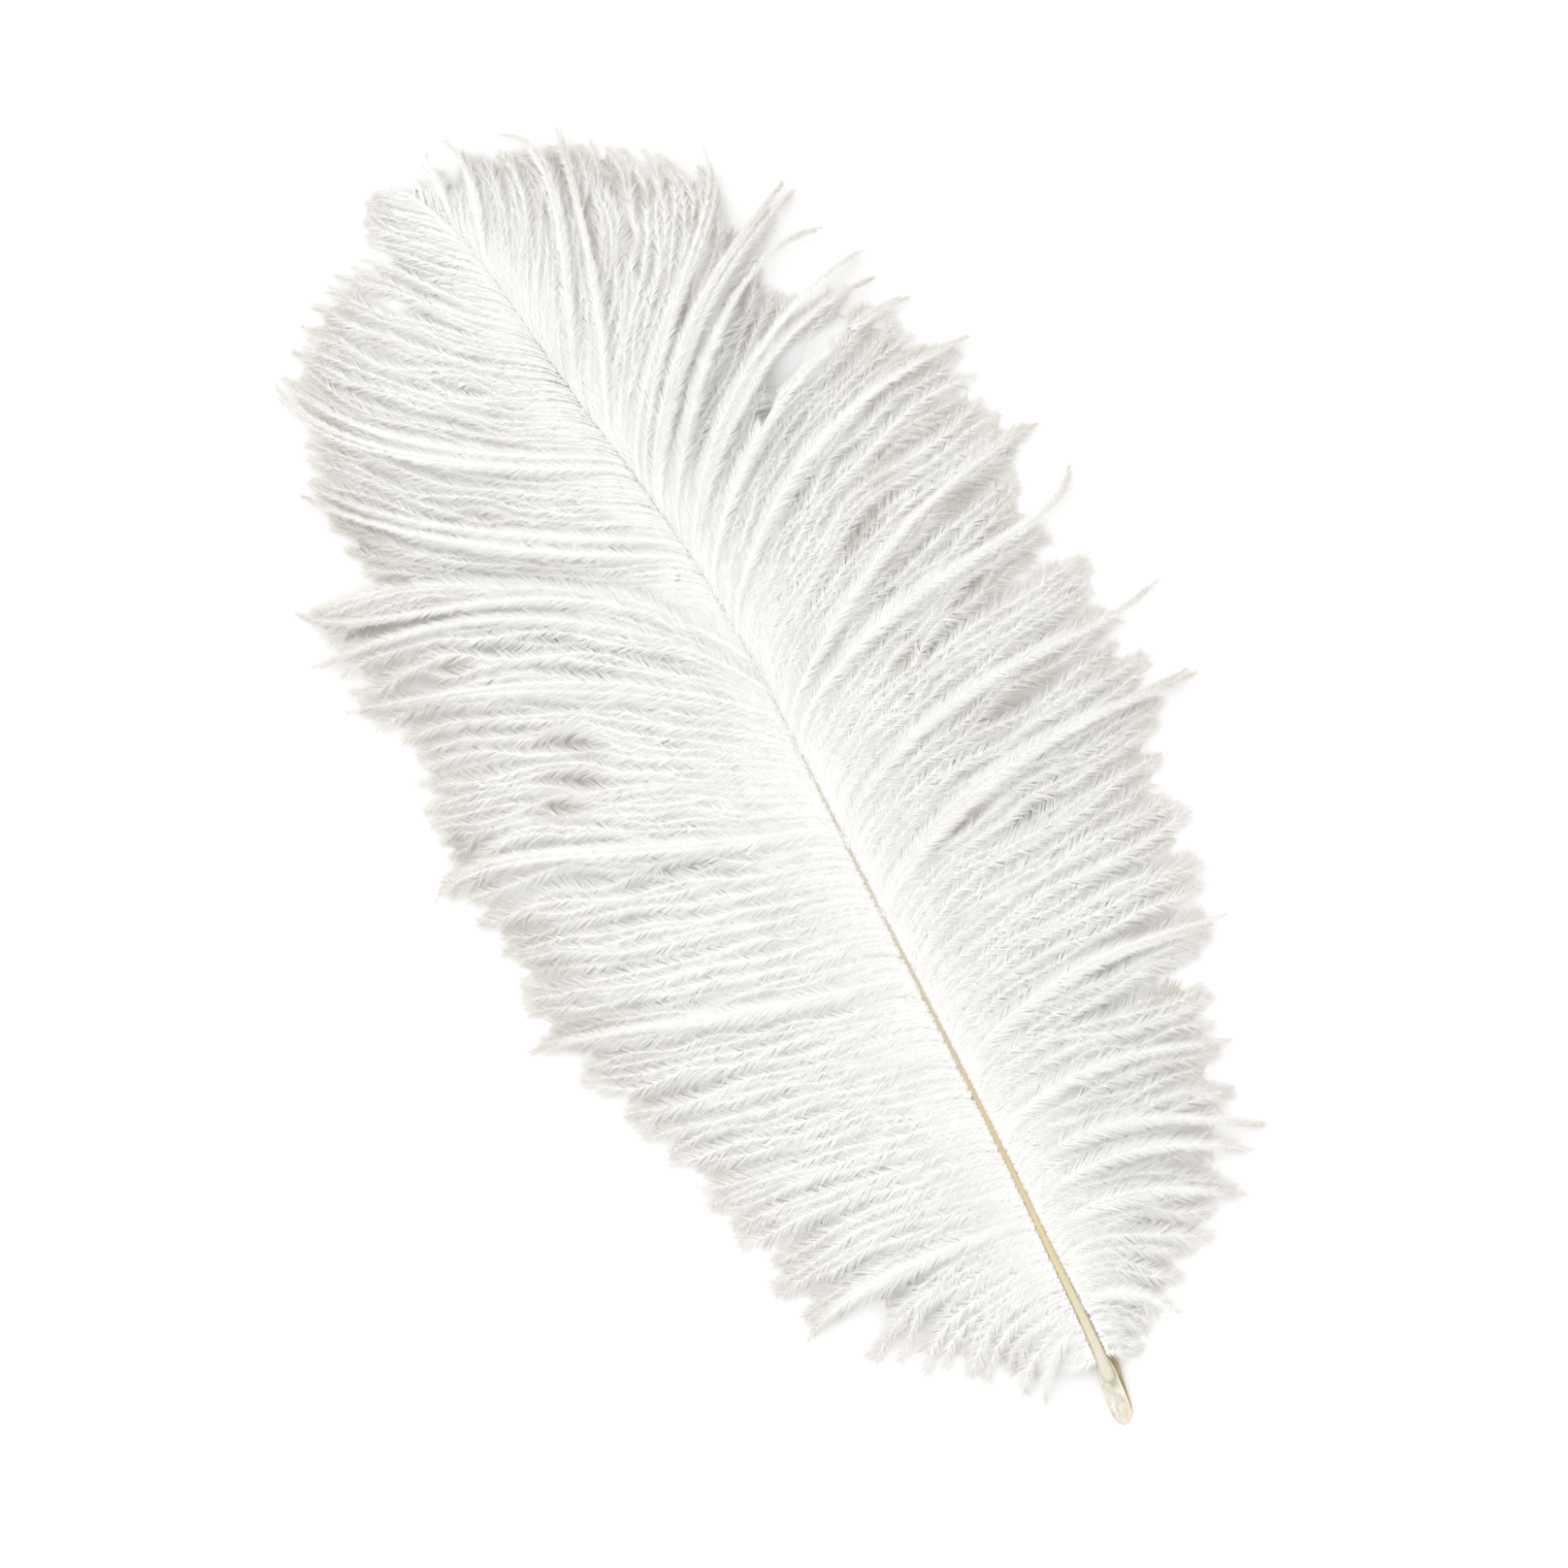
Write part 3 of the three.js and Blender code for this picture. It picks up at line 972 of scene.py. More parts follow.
def barbule_lengths(s, reach, longest, first_share, wisp, deep, gutter):
    """The lengths of the barbules that stand at distances s along a barb."""
    grow = first_share + (1 - first_share) * ease(s, 0, GROW_WIDE)
    fade = END_SHARE + (1 - END_SHARE) * ease(reach - s, 0, END_WIDE)
    thin = 1 - WISP_THIN * wisp * ease(s, WISP_BARE_FROM * reach, WISP_BARE_FULL * reach)
    length = longest * grow * fade * thin
    length *= 1 + DEEP_LONGER * deep * ease(s, 0, LOOSE_WIDE)
    return length * (1 - GUTTER_SHORT * gutter)


print("barbules reach their full length", GROW_WIDE, "mm from the shaft")

# %% Barbules of one barb
FIRST_BARBULE, BARBULE_JITTER = 0.3, 0.45
SLANT_LESS, CLUMP_SLANT, OWN_SLANT = 6.0, 8.0, 4.0
STIFF_SHARE = 0.4
HANG_NEAR, HANG_MORE, OWN_HANG = 4.0, 6.0, 0.8
CLUMP_LONG, OWN_LONG = 0.12, (0.7, 1.2)
# Painted shade for each barbule: a random darkening, partly shared by its clump, that stands in for
# how it faces the light.
MEAN_SHADE, CLUMP_SHADE, OWN_SHADE = 0.5, 0.15, 0.35


def barb_barbules(path, roll, painted_shade, wisp, y, deep, rng):
    """The barbules of one barb: vertices in rows of three, and their attributes."""
    longest, lean_out, first = (np.interp(y, BARBULES[:, 0], BARBULES[:, i]) for i in (1, 2, 3))
    steps = np.linalg.norm(np.diff(path, axis=0), axis=1)
    at = np.concatenate([[0], np.cumsum(steps)])
    reach = at[-1]
    s = np.arange(FIRST_BARBULE, reach, BARBULE_GAP)
    count = len(s)
    s = s + rng.uniform(-BARBULE_JITTER, BARBULE_JITTER, count) * BARBULE_GAP
    point, along, side, up = (
        np.stack([np.interp(s, at, line[:, i]) for i in range(3)], axis=-1)
        for line in (path, *frames_along(path))
    )
    share = s / reach
    free = ease(s, 0, LOOSE_WIDE)
    loose = STIFF_SHARE + (1 - STIFF_SHARE) * free
    gutter = (1 - ease(s, 0, GUTTER_WIDE)) * (1 - np.interp(y, GUTTER_GONE, (0, 1)))
    length = barbule_lengths(s, reach, longest, first, wisp, deep, gutter)
    rows, marks = [], []
    for hand in (-1, 1):
        start = rng.random()
        clump = np.floor(s / CLUMP + start).astype(int)
        own = rng.uniform(-1, 1, (clump.max() + 1, 4))[clump]
        lean = CLING * ((clump + 0.5 - start) * CLUMP - s)
        slant = lean_out - SLANT_LESS * share + CLUMP_SLANT * own[:, 0] * loose
        slant = slant + DEEP_LEAN * deep * free
        slant = slant + (GUTTER_SLANT - slant) * gutter
        slant = np.radians(slant + rng.normal(0, OWN_SLANT, count))[:, None]
        droop = own[:, 1] + rng.normal(0, OWN_HANG, count)
        hang = BARBULE_HANG + hand * roll + (HANG_NEAR + HANG_MORE * free) * droop
        hang = np.radians(hang)[:, None]
        away = np.cos(hang) * hand * side - np.sin(hang) * up
        ahead = np.cos(slant) * along + np.sin(slant) * away
        long = length * (1 + CLUMP_LONG * own[:, 2]) * rng.uniform(*OWN_LONG, count)
        tip = point + ahead * long[:, None] + along * lean[:, None]
        twist = np.radians(rng.normal(0, BARBULE_TWIST, count))[:, None]
        foot = (np.cos(twist) * along + np.sin(twist) * up) * (BARBULE_GAP * BARBULE_FOOT / 2)
        three = [point - foot, point + foot, tip]
        rows.append(np.stack(three if hand > 0 else three[::-1], axis=1))
        out = [0.0, 0.0, 1.0] if hand > 0 else [1.0, 0.0, 0.0]
        # This barbule's painted shade.
        facing_shade = MEAN_SHADE + CLUMP_SHADE * own[:, 3] + rng.uniform(-OWN_SHADE, OWN_SHADE, count)
        facing_shade = np.clip(facing_shade, 0, 1)
        facts = [np.tile(out, (count, 1))]
        facts += [np.repeat(v[:, None], 3, 1) for v in (share, facing_shade, np.interp(s, at, painted_shade))]
        marks.append(np.stack(facts, axis=-1))
    vertices = np.concatenate(rows).reshape(-1, 3)
    vertices[:, 2] = np.maximum(vertices[:, 2], TABLE_CLEAR)
    return vertices, np.concatenate(marks).reshape(-1, 4)


print("a barbule's root is", round(BARBULE_GAP * BARBULE_FOOT, 3), "mm wide")

# %% [markdown]
# Barbules that would reach into a hole are left out, or the hole would be veiled by them. Each
# vane's barbules are then joined in four bands along the shaft, so that no single mesh is too
# large to handle.

# %% Barbule meshes
HOLE_SHARE = 0.55
BANDS = {"lower": (0, 95), "middle": (95, 170), "upper": (170, 245), "crown": (245, 360)}


def inside_holes(points, holes, side):
    """Which points lie in one of the holes that go right through the vane."""
    inside = np.zeros(points.shape[:-1], bool)
    for x, y, angle, long, push in holes:
        u, v, _ = beside(points, x, y, angle, side)
        inside |= (u / long) ** 2 + (v / (HOLE_SHARE * push)) ** 2 < 1
    return inside


def barbule_mesh(name, vane, chosen, rng):
    """The barbules of the chosen barbs, joined in one mesh."""
    facts = [vane[key] for key in ("path", "roll", "painted_shade", "wisp", "y", "deep")]
    made = [barb_barbules(*(fact[i] for fact in facts), rng) for i in chosen]
    vertices = np.concatenate([m[0] for m in made]).reshape(-1, 3, 3)
    marks = np.concatenate([m[1] for m in made]).reshape(-1, 3, 4)
    kept = ~inside_holes(vertices, vane["holes"], vane["side"]).any(axis=1)
    vertices, marks = vertices[kept].reshape(-1, 3), marks[kept].reshape(-1, 4)
    triangles = np.arange(len(vertices)).reshape(-1, 3)
    names = ("out", "along", "facing_shade", "painted_shade")
    return write_mesh(name, vertices, triangles, {k: marks[:, i] for i, k in enumerate(names)})


down = []
for side, vane in barbs.items():
    for band, (low, high) in BANDS.items():
        chosen = np.flatnonzero((vane["y"] >= low) & (vane["y"] < high))
        down.append(barbule_mesh(f"{side}_down_{band}", vane, chosen, random))

# %% [markdown]
# ## The shaft
#
# The shaft is one tapering rod of horn. Its back is a little flattened, and along each edge runs
# a shallow groove that the barbs grow from. The groove catches shade, and painted shade in the
# horn's finish adds to it, which is why the shaft reads as a pale band with two fine dark lines.

# %% Shaft
SHAFT_SIDES = 28
SHAFT_FROM = 12.0
SHAFT_STEP = 1.6
GROOVE_DEEP = 0.14
GROOVE_AT, GROOVE_WIDE = 34.0, 9.0
BACK_ROUND, BACK_TALL = 0.8, 0.92


def tube_faces(rings, sides):
    """Triangles of a closed tube: its walls and a fan at each end."""
    base = np.arange(rings * sides).reshape(rings, sides)
    a, b = base[:-1], np.roll(base, -1, axis=1)[:-1]
    c, d = np.roll(base, -1, axis=1)[1:], base[1:]
    walls = np.stack([a, b, c, a, c, d], axis=-1).reshape(-1, 3)
    fan = np.arange(1, sides - 1)
    first = np.stack([np.zeros_like(fan), fan + 1, fan], axis=-1)
    last = base[-1, 0] + np.stack([np.zeros_like(fan), fan, fan + 1], axis=-1)
    return np.concatenate([walls, first, last])


def shaft_mesh():
    """The shaft as one tube with a groove along each side of its back."""
    y = np.arange(SHAFT_FROM, PLUME_LENGTH + 0.1, SHAFT_STEP)
    middle = shaft_point(y)
    _, side, up = frames_along(middle)
    width = smooth_line(SHAFT, y, 2)
    turn = np.linspace(0, 2 * np.pi, SHAFT_SIDES, endpoint=False)
    from_top = np.degrees(np.abs((turn - np.pi / 2 + np.pi) % (2 * np.pi) - np.pi))
    groove = GROOVE_DEEP * np.exp(-(((from_top - (90 - GROOVE_AT)) / GROOVE_WIDE) ** 2))
    level = np.cos(turn) * (1 - groove)
    tall = np.sign(np.sin(turn)) * np.abs(np.sin(turn)) ** BACK_ROUND * (1 - groove) * BACK_TALL
    ring = side[:, None] * level[:, None] + up[:, None] * tall[:, None]
    vertices = (middle[:, None] + ring * width[:, None, None] / 2).reshape(-1, 3)
    across = np.tile(level, len(y))
    along = np.repeat(y / PLUME_LENGTH, SHAFT_SIDES)
    faces = tube_faces(len(y), SHAFT_SIDES)
    return write_mesh("shaft", vertices, faces, {"across": across, "along": along})


shaft = shaft_mesh()

# %% [markdown]
# ## The cut quill
#
# The quill was cut on a long slant, so its last 14 mm are open. Inside lie dry, crumpled
# membranes of old pith, grey-beige and a little glassy. Along the right runs the pale rim of the
# wall, and outside it lies a dark sliver of painted shadow: the quill's underside in shade and its
# shadow beside it, painted olive brown. Each of them is a small lofted body of its own, with
# wrinkles pushed into its surface.

# %% Quill stations: along Y, left edge, right edge
PITH = np.array([
    [0.2, -0.9, 0.9],
    [1.5, -1.5, 2.2],
    [3, -1.75, 2.9],
    [6.4, -1.5, 3.5],
    [10, -0.8, 3.9],
    [13.5, 0.1, 4.3],
    [15.5, 0.9, 4.4],
])
RIM = np.array([
    [0.3, 0.1, 1.0],
    [1.5, 1.5, 2.4],
    [3, 2.3, 3.0],
    [6.4, 3.1, 3.65],
    [10, 3.5, 4.05],
    [13.5, 3.75, 4.5],
    [17, 3.6, 4.6],
])
# The shadow sliver: a dark body standing where the quill's underside lies in shade and casts its
# shadow.
SHADOW_SLIVER = np.array([
    [1.5, 1.4, 2.5],
    [3, 2.0, 3.2],
    [6.4, 2.8, 4.1],
    [10, 3.2, 4.9],
    [14, 3.4, 5.9],
    [16, 3.5, 6.0],
    [19, 3.4, 5.4],
    [22, 3.4, 4.6],
])
print(len(PITH) + len(RIM) + len(SHADOW_SLIVER), "stations for the quill")

# %% Quill bodies
STRIP_RINGS = 44
STRIP_POINTS = 15
STRIP_THIN = 0.35
FLOOR_CLIMB, FLOOR_DROP = 0.25, 0.2
WRINKLE_WAVES = 9
WRINKLE_FINE = (0.5, 1.6)
WRINKLE_LONG = 0.45
WRINKLE_SHARP = 0.6


def wrinkle(vertices, size, fineness, rng):
    """Pushes the vertices up and down by a sum of a few skewed waves."""
    for _ in range(WRINKLE_WAVES):
        turn = rng.uniform(0, 2 * np.pi)
        wave = fineness * rng.uniform(*WRINKLE_FINE)
        way = np.array([np.cos(turn), np.sin(turn) * WRINKLE_LONG])
        push = np.sin(vertices[:, :2] @ way * wave + rng.uniform(0, WAVE_START))
        sharp = np.sign(push) * np.abs(push) ** WRINKLE_SHARP
        vertices[:, 2] += size * sharp / math.sqrt(WRINKLE_WAVES)
    return vertices


def strip_body(name, edges, low, high, crown, size, fineness, rng):
    """A body between two edges, with its floor at low and a crowned top that climbs to high."""
    y = np.linspace(edges[0, 0], edges[-1, 0], STRIP_RINGS)
    left, right = smooth_line(edges, y, 1), smooth_line(edges, y, 2)
    across = np.linspace(-1, 1, STRIP_POINTS)
    climb = (y - y[0]) / (y[-1] - y[0])
    top_height = low + STRIP_THIN + (high - low - STRIP_THIN) * climb
    x = left[:, None] + (right - left)[:, None] * (across[None] + 1) / 2
    dome = crown * (1 - across[None] ** 2)
    along = np.repeat(y[:, None], STRIP_POINTS, axis=1)
    top = np.stack([x, along, top_height[:, None] + dome], axis=-1)
    shaped = wrinkle(top.reshape(-1, 3), size, fineness, rng).reshape(top.shape)
    below = top[:, 1:-1][:, ::-1].copy()
    below[..., 2] = low + FLOOR_CLIMB * (top_height[:, None] - low) - FLOOR_DROP
    ring = np.concatenate([shaped, below], axis=1)
    ring[..., 2] = np.maximum(ring[..., 2], TABLE_CLEAR)
    vertices = ring.reshape(-1, 3)
    share = np.repeat(climb, ring.shape[1])
    level = np.tile(np.concatenate([across, across[1:-1][::-1]]), len(y))
    faces = tube_faces(len(y), ring.shape[1])[:, ::-1]
    return write_mesh(name, vertices, faces, {"along": share, "across": level})


pith = strip_body(
    "quill_pith", PITH, low=0.3, high=3.2, crown=0.45, size=0.3, fineness=3.2, rng=random
)
rim = strip_body(
    "quill_rim", RIM, low=0.6, high=3.9, crown=0.22, size=0.08, fineness=2.0, rng=random
)
# A painted shadow: a dark body beside the rim.
shadow_sliver = strip_body(
    "quill_shadow_sliver", SHADOW_SLIVER, low=0.2, high=2.6, crown=0.2, size=0.06, fineness=1.5, rng=random
)

# %% [markdown]
# ## Finishes
#
# Everything here is keratin, the stuff of horn and hair. It is close to white in the vane, cream
# in the shaft and glassy grey in the pith. Two effects are shared, so each is a node group with
# named sockets: `lengthwise_grain`, the fine streaks that horn has along its length, and the tint
# group, which turns a clean colour towards a second one where a mask says so. The masks carry real
# stains and dust, and also painted shade.

# %% Helpers for nodes


def feed(tree, socket, value):
    """Gives a socket its value: a number, a colour or another node's output."""
    if isinstance(value, bpy.types.NodeSocket):
        tree.links.new(value, socket)
    else:
        socket.default_value = value


def add_node(tree, kind, group=None, **inputs):
    """A node of a kind, or of a shared group, with its sockets fed by name."""
    node = tree.nodes.new("ShaderNode" + kind)
    if group:
        node.node_tree = group
    for label, value in inputs.items():
        feed(tree, node.inputs[label], value)
    return node


def add_math(tree, operation, *values, kind="Math"):
    """A Math node on numbers or on other nodes' outputs."""
    node = add_node(tree, kind)
    node.operation = operation
    for socket, value in zip(node.inputs, values):
        feed(tree, socket, value)
    return node.outputs[0]


def new_group(name, inputs, output, kind):
    """A shader node group with named sockets, its input node's sockets and its output socket."""
    group = bpy.data.node_groups.new(name, "ShaderNodeTree")
    for label, value in inputs.items():
        sort = "NodeSocketColor" if isinstance(value, tuple) else "NodeSocketFloat"
        socket = group.interface.new_socket(label, in_out="INPUT", socket_type=sort)
        socket.default_value = value
    group.interface.new_socket(output, in_out="OUTPUT", socket_type=kind)
    source = group.nodes.new("NodeGroupInput").outputs
    return group, source, group.nodes.new("NodeGroupOutput").inputs[output]


print("helpers for nodes are ready")

# %% Shared node groups
GRAIN_DETAIL = 3.0


def lengthwise_grain():
    """Streaks along Y: a noise whose space is squeezed across and stretched along."""
    inputs = {"Across": 900.0, "Along": 60.0}
    group, source, out = new_group("lengthwise_grain", inputs, "Grain", "NodeSocketFloat")
    across, along = source["Across"], source["Along"]
    place = add_node(group, "TexCoord").outputs["Object"]
    stretch = add_node(group, "CombineXYZ", X=across, Y=along, Z=across).outputs["Vector"]
    scaled = add_math(group, "MULTIPLY", place, stretch, kind="VectorMath")
    noise = add_node(group, "TexNoise", Vector=scaled, Scale=1.0, Detail=GRAIN_DETAIL)
    feed(group, out, noise.outputs["Fac"])
    return group


def stain_and_shade_tint():
    """A clean colour that turns to a second one by a mask, broken up by a grain. Masks carry
    stains, dust and painted shade.
    """
    colours = {"Clean": (0.9, 0.9, 0.88, 1), "Stained": (0.7, 0.66, 0.58, 1)}
    inputs = {**colours, "Mask": 0.0, "Grain": 0.5, "Break": 0.4}
    group, source, out = new_group("stain_and_shade_tint", inputs, "Color", "NodeSocketColor")
    centred = add_math(group, "SUBTRACT", source["Grain"], 0.5)
    broken = add_math(group, "MULTIPLY_ADD", centred, source["Break"], source["Mask"])
    broken.node.use_clamp = True
    mix = add_node(group, "Mix")
    mix.data_type = "RGBA"
    for label, value in (("Factor", broken), ("A", source["Clean"]), ("B", source["Stained"])):
        feed(group, mix.inputs[label], value)
    feed(group, out, mix.outputs["Result"])
    return group


GRAIN = lengthwise_grain()
TINT = stain_and_shade_tint()
print("node groups:", [g.name for g in bpy.data.node_groups])

# %% Helpers for materials


def new_material(name, roughness, specular=0.5):
    """A material with one Principled shader. Even values are set on the shader itself."""
    material = bpy.data.materials.new(name)
    material.use_nodes = True
    shader = material.node_tree.nodes["Principled BSDF"]
    shader.inputs["Roughness"].default_value = roughness
    shader.inputs["Specular IOR Level"].default_value = specular
    return material, material.node_tree, shader


def add_grain(tree, across, along):
    """The shared grain, with how fine it is across and along the part."""
    return add_node(tree, "Group", GRAIN, Across=across, Along=along).outputs["Grain"]


def add_tint(tree, **inputs):
    """The shared tint, with its sockets fed by name."""
    return add_node(tree, "Group", TINT, **inputs).outputs["Color"]


def add_attribute(tree, name):
    """A number that the mesh carries at every point."""
    node = add_node(tree, "Attribute")
    node.attribute_name = name
    return node.outputs["Fac"]


def add_ramp(tree, factor, stops):
    """A colour ramp with the given places and colours."""
    node = add_node(tree, "ValToRGB", Fac=factor)
    ramp = node.color_ramp
    while len(ramp.elements) < len(stops):
        ramp.elements.new(0.5)
    for element, (place, colour) in zip(ramp.elements, stops):
        element.position = place
        element.color = (*colour, 1)
    return node.outputs["Color"]


def add_bump(tree, shader, height, strength, distance):
    """Fine relief from a grain."""
    bump = add_node(tree, "Bump", Strength=strength, Distance=distance, Height=height)
    feed(tree, shader.inputs["Normal"], bump.outputs["Normal"])


def smooth_shade(piece):
    """Lets a piece shade as one smooth surface, without facets."""
    piece.data.polygons.foreach_set("use_smooth", [True] * len(piece.data.polygons))


print("helpers for materials are ready")

# %% [markdown]
# ### Down and ribs
#
# Clean ostrich down is a warm white. The thin ends of the barbules let less light back and look
# greyer and a little beige, more so towards the edge of the vane, where dust gathers too. A slow
# noise and each barbule's own painted shade keep the white from being the same everywhere. Painted
# shade, a beige darkening, also lies on the down and ribs down in the partings, on the deep barbs
# under the locks and at the wisps' ends.

# %% Down
# One colour for the real dust at the vane's edge and for the painted shade in partings, on deep
# barbs and at wisp ends.
DUST_AND_SHADE_COLOUR = (0.66, 0.62, 0.55, 1)
DOWN_CLEAN = (0.985, 0.983, 0.976, 1)
DOWN_GREY = (0.84, 0.828, 0.8, 1)
ENDS_GREY, EDGE_GREY, OWN_GREY = 0.1, 0.5, 0.42
EDGE_DUST = 0.3


def down_material():
    """Soft white, greyer at the ends of barbules and dusty at the edge of the vane, with painted
    shade on each barbule, in the partings, on deep barbs and at the wisps' ends.
    """
    material, tree, shader = new_material("white_down", roughness=0.75, specular=0.2)
    grain = add_grain(tree, 55.0, 55.0)
    along = add_attribute(tree, "along")
    ends = add_math(tree, "MULTIPLY", add_attribute(tree, "out"), ENDS_GREY)
    mask = add_math(tree, "MULTIPLY_ADD", add_math(tree, "POWER", along, 6.0), EDGE_GREY, ends)
    # Each barbule's random painted shade, standing in for how it faces the light, greys it.
    mask = add_math(tree, "MULTIPLY_ADD", add_attribute(tree, "facing_shade"), OWN_GREY, mask)
    grey = add_tint(tree, Clean=DOWN_CLEAN, Stained=DOWN_GREY, Mask=mask, Grain=grain, Break=0.15)
    # Real dust at the vane's edge, plus painted shade from the mesh: beige darkening in partings,
    # on deep barbs and at wisp ends.
    painted_shade = add_attribute(tree, "painted_shade")
    dust_and_shade = add_math(tree, "MULTIPLY_ADD", add_math(tree, "POWER", along, 9.0), EDGE_DUST, painted_shade)
    white = add_tint(tree, Clean=grey, Stained=DUST_AND_SHADE_COLOUR, Mask=dust_and_shade, Grain=grain, Break=0.3)
    feed(tree, shader.inputs["Base Color"], white)
    shader.inputs["Sheen Weight"].default_value = 0.15
    shader.inputs["Sheen Roughness"].default_value = 0.5
    return material


white_down = down_material()
for piece in down:
    piece.data.materials.append(white_down)
print(len(down), "pieces of down are finished")

# %% Ribs' horn
RIB_CLEAN = (0.975, 0.97, 0.96, 1)
RIB_GREY = (0.8, 0.77, 0.72, 1)
RIB_ENDS_GREY = 0.4


def rib_material():
    """Pale horn with a little gloss, greyer towards the ribs' ends, with the down's painted shade.
    """
    material, tree, shader = new_material("rib_horn", roughness=0.42, specular=0.4)
    grain = add_grain(tree, 200.0, 40.0)
    mask = add_math(tree, "POWER", add_attribute(tree, "along"), 4.0)
    mask = add_math(tree, "MULTIPLY", mask, RIB_ENDS_GREY)
    grey = add_tint(tree, Clean=RIB_CLEAN, Stained=RIB_GREY, Mask=mask, Grain=grain, Break=0.2)
    # The down's painted shade darkens the ribs too.
    painted_shade = add_attribute(tree, "painted_shade")
    white = add_tint(tree, Clean=grey, Stained=DUST_AND_SHADE_COLOUR, Mask=painted_shade, Break=0.0)
    feed(tree, shader.inputs["Base Color"], white)
    return material


rib_horn = rib_material()
for piece in ribs:
    piece.data.materials.append(rib_horn)
print(len(ribs), "pieces of ribs are finished")

# %% [markdown]
# ### Shaft horn
#
# From the quill upwards the horn goes from ivory through golden cream to a thin tan thread. The
# colour follows the `along` attribute through a ramp, and painted shade darkens the shaft's two
# edges where `across` nears its ends, the right one more than the left, which is the side turned
# away from the key light. Fine streaks along the shaft break up both the colour and the gloss.

# %% Shaft horn
HORN_STOPS = [
    (0.05, (0.71, 0.67, 0.56)),
    (0.097, (0.68, 0.61, 0.4)),
    (0.143, (0.66, 0.56, 0.32)),
    (0.214, (0.61, 0.5, 0.28)),
    (0.3, (0.57, 0.475, 0.3)),
    (0.4, (0.57, 0.515, 0.4)),
    (0.51, (0.56, 0.52, 0.43)),
    (0.65, (0.6, 0.58, 0.53)),
]
# Painted shade: the shaft's edges darker, and its right side, turned from the key light, darker
# still.
HORN_SHADE = (0.38, 0.29, 0.16, 1)
SIDE_SHADE, RIGHT_SHADE = 0.35, 0.5
GLOSS_LEAST, GLOSS_VARIES = 0.28, 0.25


def shaft_material():
    """Cream horn with painted shade along its two edges, more on the right, and streaks in its
    colour and gloss.
    """
    material, tree, shader = new_material("shaft_horn", roughness=0.4)
    grain = add_grain(tree, 2600.0, 50.0)
    horn = add_ramp(tree, add_attribute(tree, "along"), HORN_STOPS)
    across = add_attribute(tree, "across")
    # Painted shade along both edges, and more on the right.
    side_shade = add_math(tree, "POWER", add_math(tree, "ABSOLUTE", across), 9.0)
    right = add_math(tree, "POWER", add_math(tree, "MAXIMUM", across, 0.0), 4.0)
    side_shade = add_math(tree, "MULTIPLY", side_shade, SIDE_SHADE)
    mask = add_math(tree, "MULTIPLY_ADD", right, RIGHT_SHADE, side_shade)
    colour = add_tint(tree, Clean=horn, Stained=HORN_SHADE, Mask=mask, Grain=grain, Break=0.25)
    feed(tree, shader.inputs["Base Color"], colour)
    gloss = add_math(tree, "MULTIPLY_ADD", grain, GLOSS_VARIES, GLOSS_LEAST)
    feed(tree, shader.inputs["Roughness"], gloss)
    add_bump(tree, shader, grain, strength=0.25, distance=0.0001)
    return material


shaft.data.materials.append(shaft_material())
smooth_shade(shaft)
print("the horn has", len(HORN_STOPS), "colours along its length")

# %% [markdown]
# ### Quill finishes
#
# The pith is mottled grey and beige, the rim a dry ivory, and the shadow sliver a painted shadow,
# olive brown, that fades out towards its thin outer edge. One function makes all three, because
# they differ only in their two colours and in how coarse the mottling is.

# %% Quill finishes
QUILL_STAIN, QUILL_BREAK = 0.45, 2.2


def quill_material(name, clean, stained, coarse, edge, roughness):
    """A mottled finish that turns to its second colour towards one edge; on the shadow sliver it is
    a painted shadow that lightens outwards.
    """
    material, tree, shader = new_material(name, roughness)
    grain = add_grain(tree, coarse, coarse * 0.5)
    mask = add_math(tree, "MULTIPLY_ADD", add_attribute(tree, "across"), edge, QUILL_STAIN)
    values = {"Clean": clean, "Stained": stained, "Mask": mask, "Grain": grain}
    colour = add_tint(tree, **values, Break=QUILL_BREAK)
    feed(tree, shader.inputs["Base Color"], colour)
    add_bump(tree, shader, grain, strength=0.4, distance=0.0002)
    return material


for piece, name, clean, stained, coarse, edge, roughness in (
    (pith, "dry_pith", (0.86, 0.84, 0.79, 1), (0.6, 0.52, 0.4, 1), 900.0, 0.05, 0.35),
    (rim, "rim_ivory", (0.92, 0.85, 0.68, 1), (0.8, 0.68, 0.45, 1), 500.0, -0.1, 0.45),
    # A painted shadow, olive brown, lighter towards its outer edge.
    (shadow_sliver, "stained_horn", (0.3, 0.22, 0.09, 1), (0.5, 0.42, 0.27, 1), 400.0, 0.3, 0.5),
):
    finish = quill_material(name, clean, stained, coarse, edge, roughness)
    piece.data.materials.append(finish)
    smooth_shade(piece)
print("the quill has three finishes")

# %% [markdown]
# ## What each piece stands for
#
# The feather is one body that doesn't move. All its pieces ride on the root, and together they
# stand for the one solid, which stays in the physics model and isn't shown.

# %% Riding and replacing
for piece in [*down, *ribs]:
    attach(piece, "root")
    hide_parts("feather")
for piece in (shaft, pith, rim, shadow_sliver):
    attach(piece, "root")
    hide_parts("feather")
total = sum(len(piece.data.polygons) for piece in [*down, *ribs, shaft, pith, rim, shadow_sliver])
print("triangles in all:", total)

# %% [markdown]
# ## Table, light and camera
#
# The plume lies on a plain white table, and the camera looks straight down on it with the plume
# turned so that it leans to the left. White on white needs a soft key from one side, or the locks
# lose their form: a very broad sun from the upper left, and an even white sky for the rest. White
# down passes light on from barb to barb, so the paths of light get more bounces than usual.

# %% Table
FLOOR_HALF = 1.5
TABLE_WHITE = (0.93, 0.93, 0.93, 1)


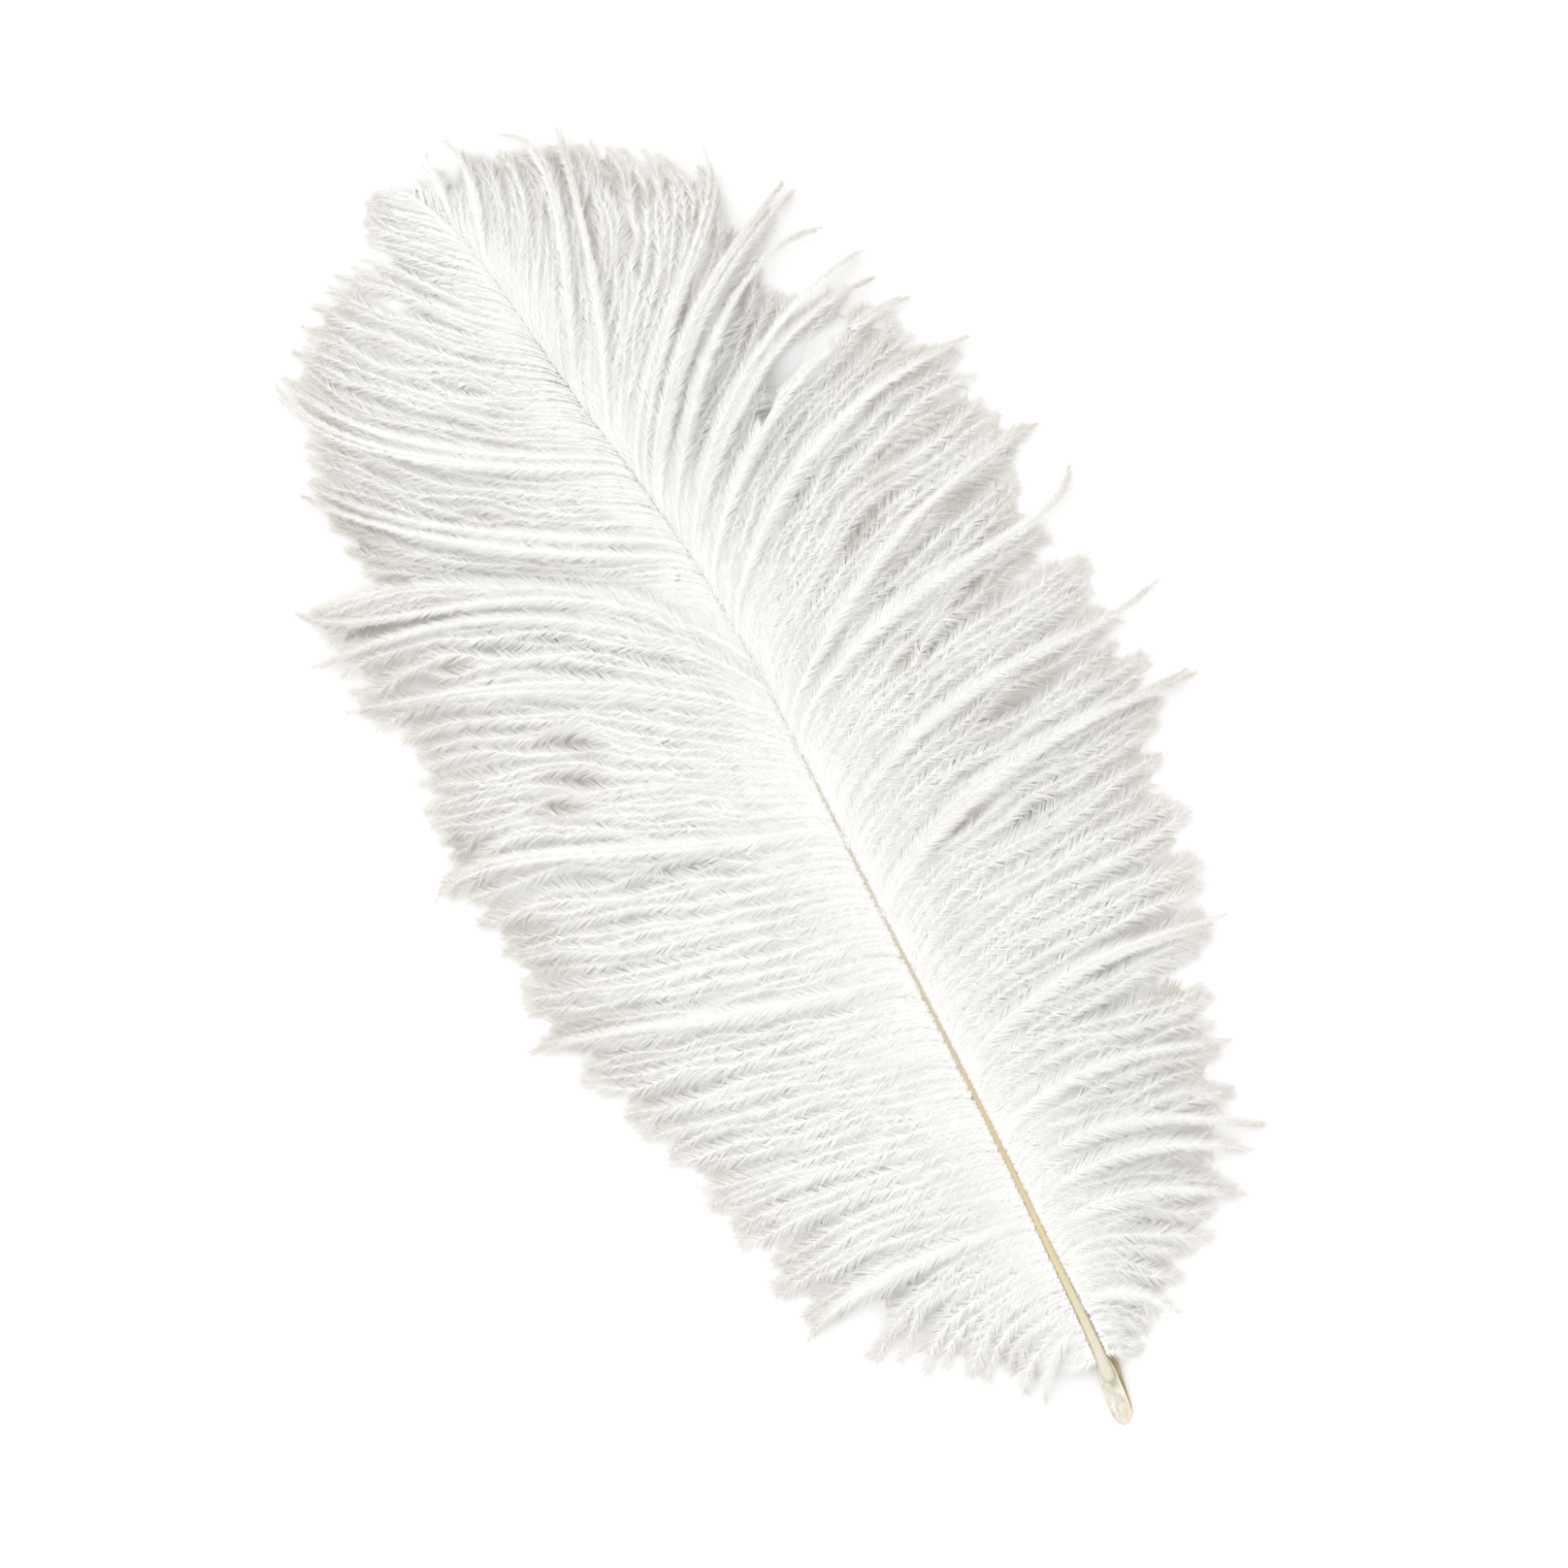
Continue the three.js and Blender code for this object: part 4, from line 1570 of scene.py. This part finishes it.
def make_floor():
    """A wide level table top under the plume."""
    mesh = bpy.data.meshes.new("table")
    h = FLOOR_HALF
    mesh.from_pydata([(-h, -h, 0), (h, -h, 0), (h, h, 0), (-h, h, 0)], [], [(0, 1, 2, 3)])
    floor = bpy.data.objects.new("table", mesh)
    bpy.context.scene.collection.objects.link(floor)
    material, _, shader = new_material("table_white", roughness=0.9, specular=0.1)
    shader.inputs["Base Color"].default_value = TABLE_WHITE
    mesh.materials.append(material)
    return floor


make_floor()
print("the table is", 2 * FLOOR_HALF, "m wide")

# %% Camera
VIEW_WIDTH = 386.0 * MM
VIEW_MIDDLE = to_frame([6.5, 179.1, 4.0])
VIEW_TURN = math.radians(-30.2)
LENS = 100.0
SENSOR = 36.0


def make_camera():
    """A camera straight above the plume, turned so that the plume leans to the left."""
    data = bpy.data.cameras.new("camera")
    data.lens = LENS
    data.sensor_width = SENSOR
    data.clip_start = 0.01
    camera = bpy.data.objects.new("camera", data)
    above = VIEW_WIDTH * LENS / SENSOR
    camera.location = (VIEW_MIDDLE[0], VIEW_MIDDLE[1], VIEW_MIDDLE[2] + above)
    camera.rotation_euler = (0, 0, VIEW_TURN)
    bpy.context.scene.collection.objects.link(camera)
    bpy.context.scene.camera = camera
    print("camera", round(above, 3), "m above the plume")


make_camera()

# %% Light
SKY_STRENGTH = 0.98
KEY_STRENGTH = 0.88
KEY_FROM = (-0.3, 0.4, 0.9)
KEY_SPREAD = 55.0
KEY_COLOUR = (1.0, 0.985, 0.96)


def make_light():
    """An even white sky and one broad sun."""
    world = bpy.data.worlds.new("studio")
    world.use_nodes = True
    sky = world.node_tree.nodes["Background"]
    sky.inputs["Color"].default_value = (1, 1, 1, 1)
    sky.inputs["Strength"].default_value = SKY_STRENGTH
    bpy.context.scene.world = world
    data = bpy.data.lights.new("key", "SUN")
    data.energy = KEY_STRENGTH
    data.angle = math.radians(KEY_SPREAD)
    data.color = KEY_COLOUR
    key = bpy.data.objects.new("key", data)
    flat = math.hypot(KEY_FROM[0], KEY_FROM[1])
    tilt = math.atan2(flat, KEY_FROM[2])
    key.rotation_euler = (tilt, 0, math.atan2(KEY_FROM[0], -KEY_FROM[1]))
    bpy.context.scene.collection.objects.link(key)


make_light()
bpy.context.scene.view_settings.view_transform = "Standard"
bpy.context.scene.cycles.diffuse_bounces = 8
bpy.context.scene.cycles.max_bounces = 10
print("sky", SKY_STRENGTH, "and key", KEY_STRENGTH)
